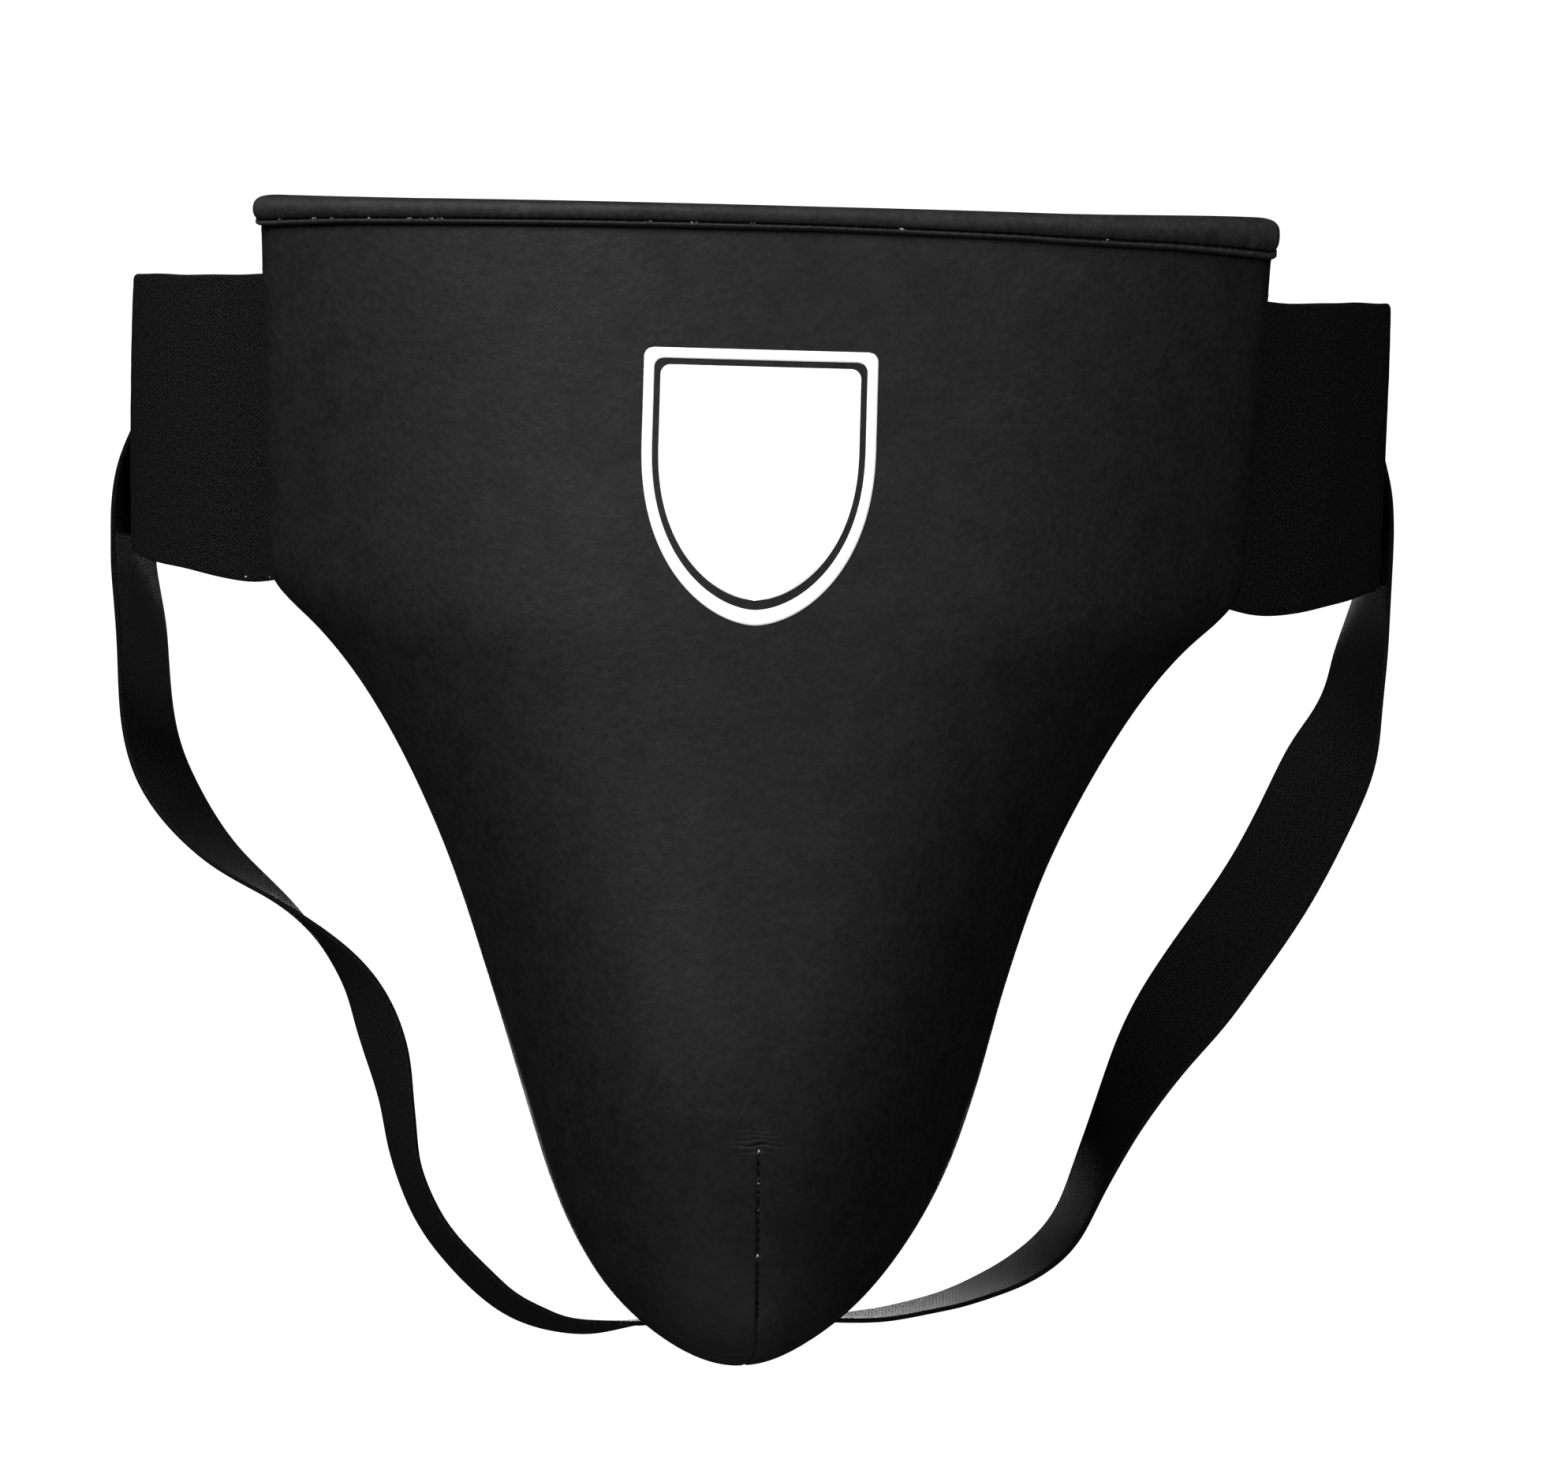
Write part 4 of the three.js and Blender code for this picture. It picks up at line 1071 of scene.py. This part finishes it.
def build_closure():
    x = close_ended(-83.0, 4.5, 40)
    half = 30.0 - corner_cut(edge_distance(x), 3.0)
    fit(upright_patch("loop_pile_patch", x, half, 93.55, 0.75, LOOP, "loop_pile"), "left_flap", "loop_patch")
    flat_stitches("loop_patch_stitches", "left_flap", frame_path(x, half, 94.3, 2.2), "loop_pile")

    x = np.concatenate([np.linspace(16, -66, 62), np.linspace(-67, -75.6, 16), [-76.0, -76.35, -76.5]])
    level, rise = REAR_Y + OVER_FLAP_RAISE, 1.75
    y = level + rise * smoothstep(x, -3, 5)
    fine = np.array([0.95, 0.975, 0.99, 0.997, 1])
    share = np.concatenate([-fine[::-1], np.linspace(-0.92, 0.92, 27), fine])
    half = relaxed(tab_half_height(x), 2.0)
    grid = np.stack(np.broadcast_arrays(x[:, None], y[:, None], half[:, None] * share), -1)
    tab = cloth("closure_tab_elastic", grid, (share + 1) * TAB_HALF_HEIGHT, 16 - x, BAND_HALF_THICKNESS, ELASTIC,
                "wide_elastic", 0.05, 9)
    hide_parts("closure_tab")
    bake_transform(tab)
    for k, place in enumerate((13.5, 11.0, 5.5)):
        upright_row("tab_seam_%d" % k, "right_flap", place, level + rise + 0.82, 27.0, "wide_elastic")

    x = close_ended(-73.6, -22.0, 40)
    half = tab_half_height(x) - 3.2 - corner_cut(edge_distance(x), 2.0)
    fit(upright_patch("hook_tape_patch", x, half, 95.45, 0.75, HOOK, "hook_tape"), "closure", "hook_patch")
    for label, level, face in (("outer", 97.85, 1.0), ("inner", 94.72, -1.0)):
        flat_stitches("hook_stitches_" + label, "closure", frame_path(x, half, level, 2.0), "hook_tape", face)

    x = np.concatenate([[-68.0, -68.1, -68.4], np.linspace(-69, -75.5, 14), [-76.0, -76.4, -76.8, -77.1]])
    half = tab_half_height(x, 12.0) - 0.1
    tape = upright_patch("pull_tape_outer", x, half, 98.25, 0.42, BINDING_LEATHER, "binding_leather")
    fit(tape, "closure", "tab_pull_tape")
    for k, place in enumerate((-69.3, -73.2)):
        upright_row("pull_tape_stitches_%d" % k, "closure", place, 98.66, tab_half_height(place) - 2.0,
                    "binding_leather")


# ---- the leg straps ----

def turned(vector, axis, angle):
    """vector turned about a unit axis (Rodrigues)."""
    cosine, sine = np.cos(angle)[..., None], np.sin(angle)[..., None]
    along = (vector * axis).sum(-1, keepdims=True)
    return vector * cosine + np.cross(axis, vector) * sine + axis * along * (1 - cosine)


SEWN_ROWS = np.arange(5.0, -44.0, -1.3)   # heights of the rows above where a strap's table starts
STRAP_SPLIT = -141.0                      # height at which a strap's two halves meet


def strap_grid(side, table):
    """Middle points of a whole leg strap: sewn outside the band, hanging free, sewn at the crotch."""
    dense = catmull(table, np.linspace(0, 1, 700))
    plane_x, plane_y, slope = STRAP_PLANE
    y = plane_y - (plane_x - np.abs(dense[:, 0])) * slope
    centre = relaxed(np.stack([dense[:, 0], y, dense[:, 1]], 1), 7.0)
    tangent = unit(np.gradient(centre, axis=0))
    level = unit(np.stack([-tangent[:, 2], np.zeros(len(tangent)), tangent[:, 0]], 1))
    width = turned(level, tangent, np.radians(-relaxed(dense[:, 2], 7.0)))
    across = edge_steps(2 * STRAP_HALF_WIDTH, 1.6)
    s = across - STRAP_HALF_WIDTH
    free = centre[:, None] + width[:, None] * s[None, :, None]

    plan = catmull(SIDE_PATH, np.linspace(0, 1, 400))
    plan[:, 0] -= fold_in(side, plan[:, 0], plan[:, 1])
    run = run_along(plan)
    heading = unit(np.gradient(plan, axis=0))
    outer = plan + np.stack([heading[:, 1], -heading[:, 0]], 1) * 1.55
    to_back = s if free[0, 0, 1] < free[0, -1, 1] else -s
    back = 0.5 + 0.5 * to_back / STRAP_HALF_WIDTH
    low_place = run[np.argmin(np.abs(plan[:, 1] - 33.0))]
    top_place = run[-1] - 10.6

    def hung(z, hanging):
        """A row of the strap: sewn outside the band, where it is a little gathered, and hanging
        free further down, its front edge first."""
        gathered = 0.75 + 0.25 * smoothstep(-z, -4, 20)
        spots = top_place + (low_place - top_place) * smoothstep(-z, -4, 44) + to_back * gathered
        sewn_x, sewn_y = sampled(outer, run, spots).T
        sewn = np.stack([side * sewn_x, sewn_y, np.full(len(s), z)], 1)
        leave = smoothstep(-z, -8 + 40 * back, 30 + 36 * back)[:, None]
        return sewn * (1 - leave) + hanging * leave

    top = [hung(z, free[0] + np.array([0, 0, z + 44.0])) for z in SEWN_ROWS]
    upper = [hung(centre[k, 2], free[k]) for k in range(220)]

    last = free[-1]
    end_y = CROTCH_Y - (s if last[0, 1] > last[-1, 1] else -s) * 0.97
    end_z = CROTCH_Z + (end_y - CROTCH_Y) * CROTCH_SLOPE
    tail_x = np.linspace(abs(last[:, 0].mean()), 4.5, 30)[1:]
    tail = [np.stack([np.full(len(s), x * side), last[:, 1] * (1 - f) + end_y * f, last[:, 2] * (1 - f) + end_z * f], 1)
            for x, f in zip(tail_x, 1 - smoothstep(tail_x, 14.0, 27.0))]
    whole = np.concatenate([top, upper, free[220:], tail])
    length = run_along(whole[:, len(s) // 2])
    along = edge_steps(length[-1], 1.7)
    grid = relaxed(np.stack([sampled(whole[:, j], length, along) for j in range(len(s))], 1), 1.6)
    cup = 0.25 * np.sin(along / 23.0)[:, None] * (1 - (s / STRAP_HALF_WIDTH) ** 2)
    return grid + grid_normals(grid) * cup[..., None], across, along


def half_strap(name, grid, across, along, part, shared, ahead):
    """One half of a strap; its open end meets the other half's exactly, at the shared row. ahead
    is how many rows further on lies a row of this half, to take its direction from."""
    front, back = sheet_faces(grid, across, along, STRAP_HALF_THICKNESS, 0.04)
    weave = weave_map(along, across)
    obj = solid_between(name, front[part], back[part], WEBBING, "strap_elastic", weave=weave[part])
    mesh = obj.data
    row = grid[shared] * MM
    middle, spread = Vector(row.mean(0)), np.ptp(row, axis=0).max()
    axis = Vector(unit(grid[shared + ahead] - grid[shared + ahead - 2]).mean(0))
    for polygon in mesh.polygons:
        if abs(polygon.normal.dot(axis)) > 0.9 and (middle - polygon.center).length < spread * 0.6:
            polygon.use_smooth = False
    sharp = mesh.attributes.get("sharp_edge") or mesh.attributes.new("sharp_edge", "BOOLEAN", "EDGE")
    caps = {tuple(sorted(key)) for p in mesh.polygons if not p.use_smooth for key in p.edge_keys}
    for edge in mesh.edges:
        if tuple(sorted(edge.vertices)) in caps:
            sharp.data[edge.index].value = True
    return obj


def sewn_box(name, grid, rows, offset):
    """A box of stitches with a cross in it, through a strap's sewn end."""
    ii, jj = np.linspace(*rows, 60), np.linspace(4, grid.shape[1] - 5, 60)
    lines = ((ii, jj[:1]), (ii, jj[-1:]), (ii[:1], jj), (ii[-1:], jj), (ii, jj), (ii, jj[::-1]))
    for k, line in enumerate(lines):
        sewn_line("%s_%d" % (name, k), "root", grid, *np.broadcast_arrays(*line), offset, "strap_elastic",
                  spacing=2.4, length=1.8)


def build_straps():
    for name, side, table in (("left", -1, LEFT_STRAP), ("right", 1, RIGHT_STRAP)):
        grid, across, along = strap_grid(side, table)
        split = int(np.argmin(np.abs(grid[:, len(across) // 2, 2] - STRAP_SPLIT)))
        upper = half_strap("leg_strap_%s_upper" % name, grid, across, along, slice(split + 1), split, -1)
        lower = half_strap("leg_strap_%s_lower" % name, grid, across, along, slice(split, None), split, 3)
        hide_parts("strap_upper_end_" + name, "leg_strap_%s_webbing" % name)
        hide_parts("strap_lower_end_" + name)
        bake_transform(upper)
        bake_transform(lower)
        normal = grid_normals(grid)
        outward = 1 if normal[6, 8, 0] * side > 0 else -1
        down = 1 if normal[-8, 8, 2] < 0 else -1
        sewn_box("strap_box_%s_top" % name, grid, np.searchsorted(along, (3.0, 15.0)), outward * 0.62)
        crotch_rows = (np.searchsorted(along, along[-1] - 14.0), len(grid) - 4)
        for label, face in (("under", down), ("over", -down)):
            sewn_box("strap_box_%s_%s" % (name, label), grid, crotch_rows, face * 0.62)


# ---- the crotch tab and the care label ----

CROTCH_TAB_HALF_WIDTH = 21.0
CROTCH_TAB_FRONT, CROTCH_TAB_BACK = -80.0, -39.0


def build_crotch_tab():
    """The leather tab under the shell's tip, with its narrow tongue, and its stitches."""
    wide = CROTCH_TAB_HALF_WIDTH
    height = lambda y: CROTCH_Z - 2.15 + (y - CROTCH_Y) * CROTCH_SLOPE
    x, y = close_ended(-wide, wide, 26), close_ended(CROTCH_TAB_FRONT, CROTCH_TAB_BACK, 30)
    xx, yy = np.meshgrid(x, y)
    tongue = 1 - smoothstep(y, -72.5, -67.0)   # the narrow front, sewn down inside the shell's tip
    half = wide - 13.5 * tongue - corner_cut(edge_distance(y), 4.0)
    grid = np.stack([xx * half[:, None] / wide, yy, height(yy)], -1)
    tab = cloth("crotch_tab_leather", grid, x + wide, y - CROTCH_TAB_FRONT, 0.95, BINDING_LEATHER, "binding_leather")
    fit(tab, "root", "crotch_tab")

    def sewn(name, path, face, **more):
        """Stitches along a path of x and y, on the tab's underside or, with face -1, on its top."""
        out = unit(np.array([0, CROTCH_SLOPE, -1.0])) * face
        points = np.stack([path[:, 0], path[:, 1], height(path[:, 1])], 1) + out * 0.92
        stitches(name, "root", points, np.tile(out, (len(path), 1)), "binding_leather", **more)

    for k, place in enumerate((-75.5, -78.2)):
        sewn("crotch_tongue_stitches_%d" % k, np.array([(-5.2, place), (5.2, place)]), -1, spacing=2.5, length=1.8)
    for k, inset in enumerate((2.2, 4.6)):
        corners = np.array([(1, 1), (-1, 1), (-1, -1), (1, -1), (1, 1)]) * (wide - inset, 14.2 - inset)
        sewn("crotch_tab_stitches_%d" % k, evenly(corners + (0, CROTCH_Y + 0.7), 1.0), 1)


def build_label():
    """The care label, sewn down along its top and curling away below."""
    u, v = np.meshgrid(np.linspace(-0.116, 0.116, 26), np.linspace(0.098, 0.188, 22))
    share = np.linspace(0, 1, 22)[:, None]
    grid = within_shell(u, v, 11.95 + 0.9 * share ** 2 + 0.15 * np.sin(u * 40 + 1) * share)
    label = cloth("blank_care_label", grid, run_along(grid[0]), run_along(grid[:, 0]), 0.22, LABEL, "label_fabric")
    fit(label, "root", "care_label")
    normal = shell_normal(u, v)[1]
    stitches("label_stitches", "root", grid[1] + normal * 0.24, normal, "label_fabric", spacing=2.2, length=1.6,
             radius=0.2)


# ---- camera, floor and light ----

CAMERA_TARGET = (8.2, -100.0, -71.0)
CAMERA_DISTANCE = 800.0
CAMERA_PITCH, CAMERA_ROLL = 7.5, 1.55   # degrees

# azimuth, elevation, watts, size, distance, what it points at
LAMPS = {
    "key_softbox": (-45, 37, 8.9, 0.5, 0.82, (0.0, -0.10, 0.08)),
    "fill_softbox": (26, 34, 3.1, 0.5, 0.75, (0.09, -0.06, 0.03)),
    "back_left": (-173, -16, 12.5, 0.45, 1.2),
    "back_right": (173, -12, 12.5, 0.45, 1.2),
    "under": (-10, -60, 3.1, 1.2, 0.9),
}
WORLD_STRENGTH = 0.0


def build_camera():
    pitch, roll = math.radians(CAMERA_PITCH), math.radians(CAMERA_ROLL)
    right = Vector((1, 0, 0))
    up = Vector((0, math.sin(pitch), math.cos(pitch)))
    forward = Vector((0, math.cos(pitch), -math.sin(pitch)))
    across = right * math.cos(roll) + up * math.sin(roll)
    rise = up * math.cos(roll) - right * math.sin(roll)
    camera = bpy.data.objects.new("camera", bpy.data.cameras.new("camera"))
    camera.data.lens, camera.data.sensor_width = 72.0, 36.0
    camera.data.clip_start, camera.data.clip_end = 0.05, 60.0
    place = Matrix((across, rise, -forward)).transposed().to_4x4()
    place.translation = Vector(CAMERA_TARGET) * MM - forward * CAMERA_DISTANCE * MM
    camera.matrix_world = place
    bpy.context.scene.collection.objects.link(camera)
    bpy.context.scene.camera = camera


def lamp(name, azimuth, elevation, power, size, distance, aim=(0.0, -0.06, -0.09)):
    """A soft round light; azimuth 0 is straight in front, positive to the viewer's right."""
    a, e = math.radians(azimuth), math.radians(elevation)
    away = Vector((math.sin(a) * math.cos(e), -math.cos(a) * math.cos(e), math.sin(e)))
    light = bpy.data.lights.new(name, "AREA")
    light.shape, light.size, light.energy = "DISK", size, power
    obj = bpy.data.objects.new(name, light)
    obj.location = Vector(aim) + away * distance
    obj.rotation_mode = "QUATERNION"
    obj.rotation_quaternion = away.to_track_quat("Z", "Y")
    bpy.context.scene.collection.objects.link(obj)
    return obj


def backdrop():
    """Corners and faces of a great ball round everything."""
    rings, sides, radius = 24, 48, 6.0
    down = math.pi * np.arange(1, rings)[:, None] / rings
    turn = 2 * math.pi * np.arange(sides) / sides
    wall = np.broadcast_arrays(np.sin(down) * np.cos(turn), np.sin(down) * np.sin(turn), np.cos(down))
    points = [(0, 0, radius), *(radius * np.stack(wall, -1)).reshape(-1, 3).tolist(), (0, 0, -radius)]
    last = len(points) - 1
    faces = [(0, 1 + (i + 1) % sides, 1 + i) for i in range(sides)]
    faces += grid_quads(rings - 1, sides, 1, wrap=True).tolist()
    faces += [(last, last - sides + i, last - sides + (i + 1) % sides) for i in range(sides)]
    return points, faces


def floor():
    half, z = 5.0, -1.2
    return [(-half, -half, z), (half, -half, z), (half, half, z), (-half, half, z)], [(0, 1, 2, 3)]


def build_stage():
    scene = bpy.context.scene
    scene.view_settings.view_transform = "Standard"
    scene.view_settings.look = "None"
    scene.world = bpy.data.worlds.new("studio")
    scene.world.use_nodes = True
    background = scene.world.node_tree.nodes["Background"]
    background.inputs[0].default_value = (1, 1, 1, 1)
    background.inputs[1].default_value = WORLD_STRENGTH

    paper = bpy.data.materials.new("white_backdrop")
    paper.use_nodes = True
    shader = paper.node_tree.nodes["Principled BSDF"]
    shader.inputs["Base Color"].default_value = (0.9, 0.9, 0.9, 1)
    shader.inputs["Emission Color"].default_value = (1, 1, 1, 1)
    shader.inputs["Emission Strength"].default_value = 1.2
    made = []
    for name, (points, faces) in (("backdrop", backdrop()), ("floor", floor())):
        mesh = bpy.data.meshes.new(name)
        mesh.from_pydata(points, [], faces)
        mesh.materials.append(paper)
        obj = bpy.data.objects.new(name, mesh)
        scene.collection.objects.link(obj)
        obj.visible_diffuse = obj.visible_glossy = obj.visible_shadow = False
        made.append(obj)
    made += [lamp(name, *settings) for name, settings in LAMPS.items()]


build_shell()
build_bindings()
build_core()
build_roll()
build_dart_thread()
build_shield()
build_bands()
build_closure()
build_straps()
build_crotch_tab()
build_label()
build_camera()
build_stage()
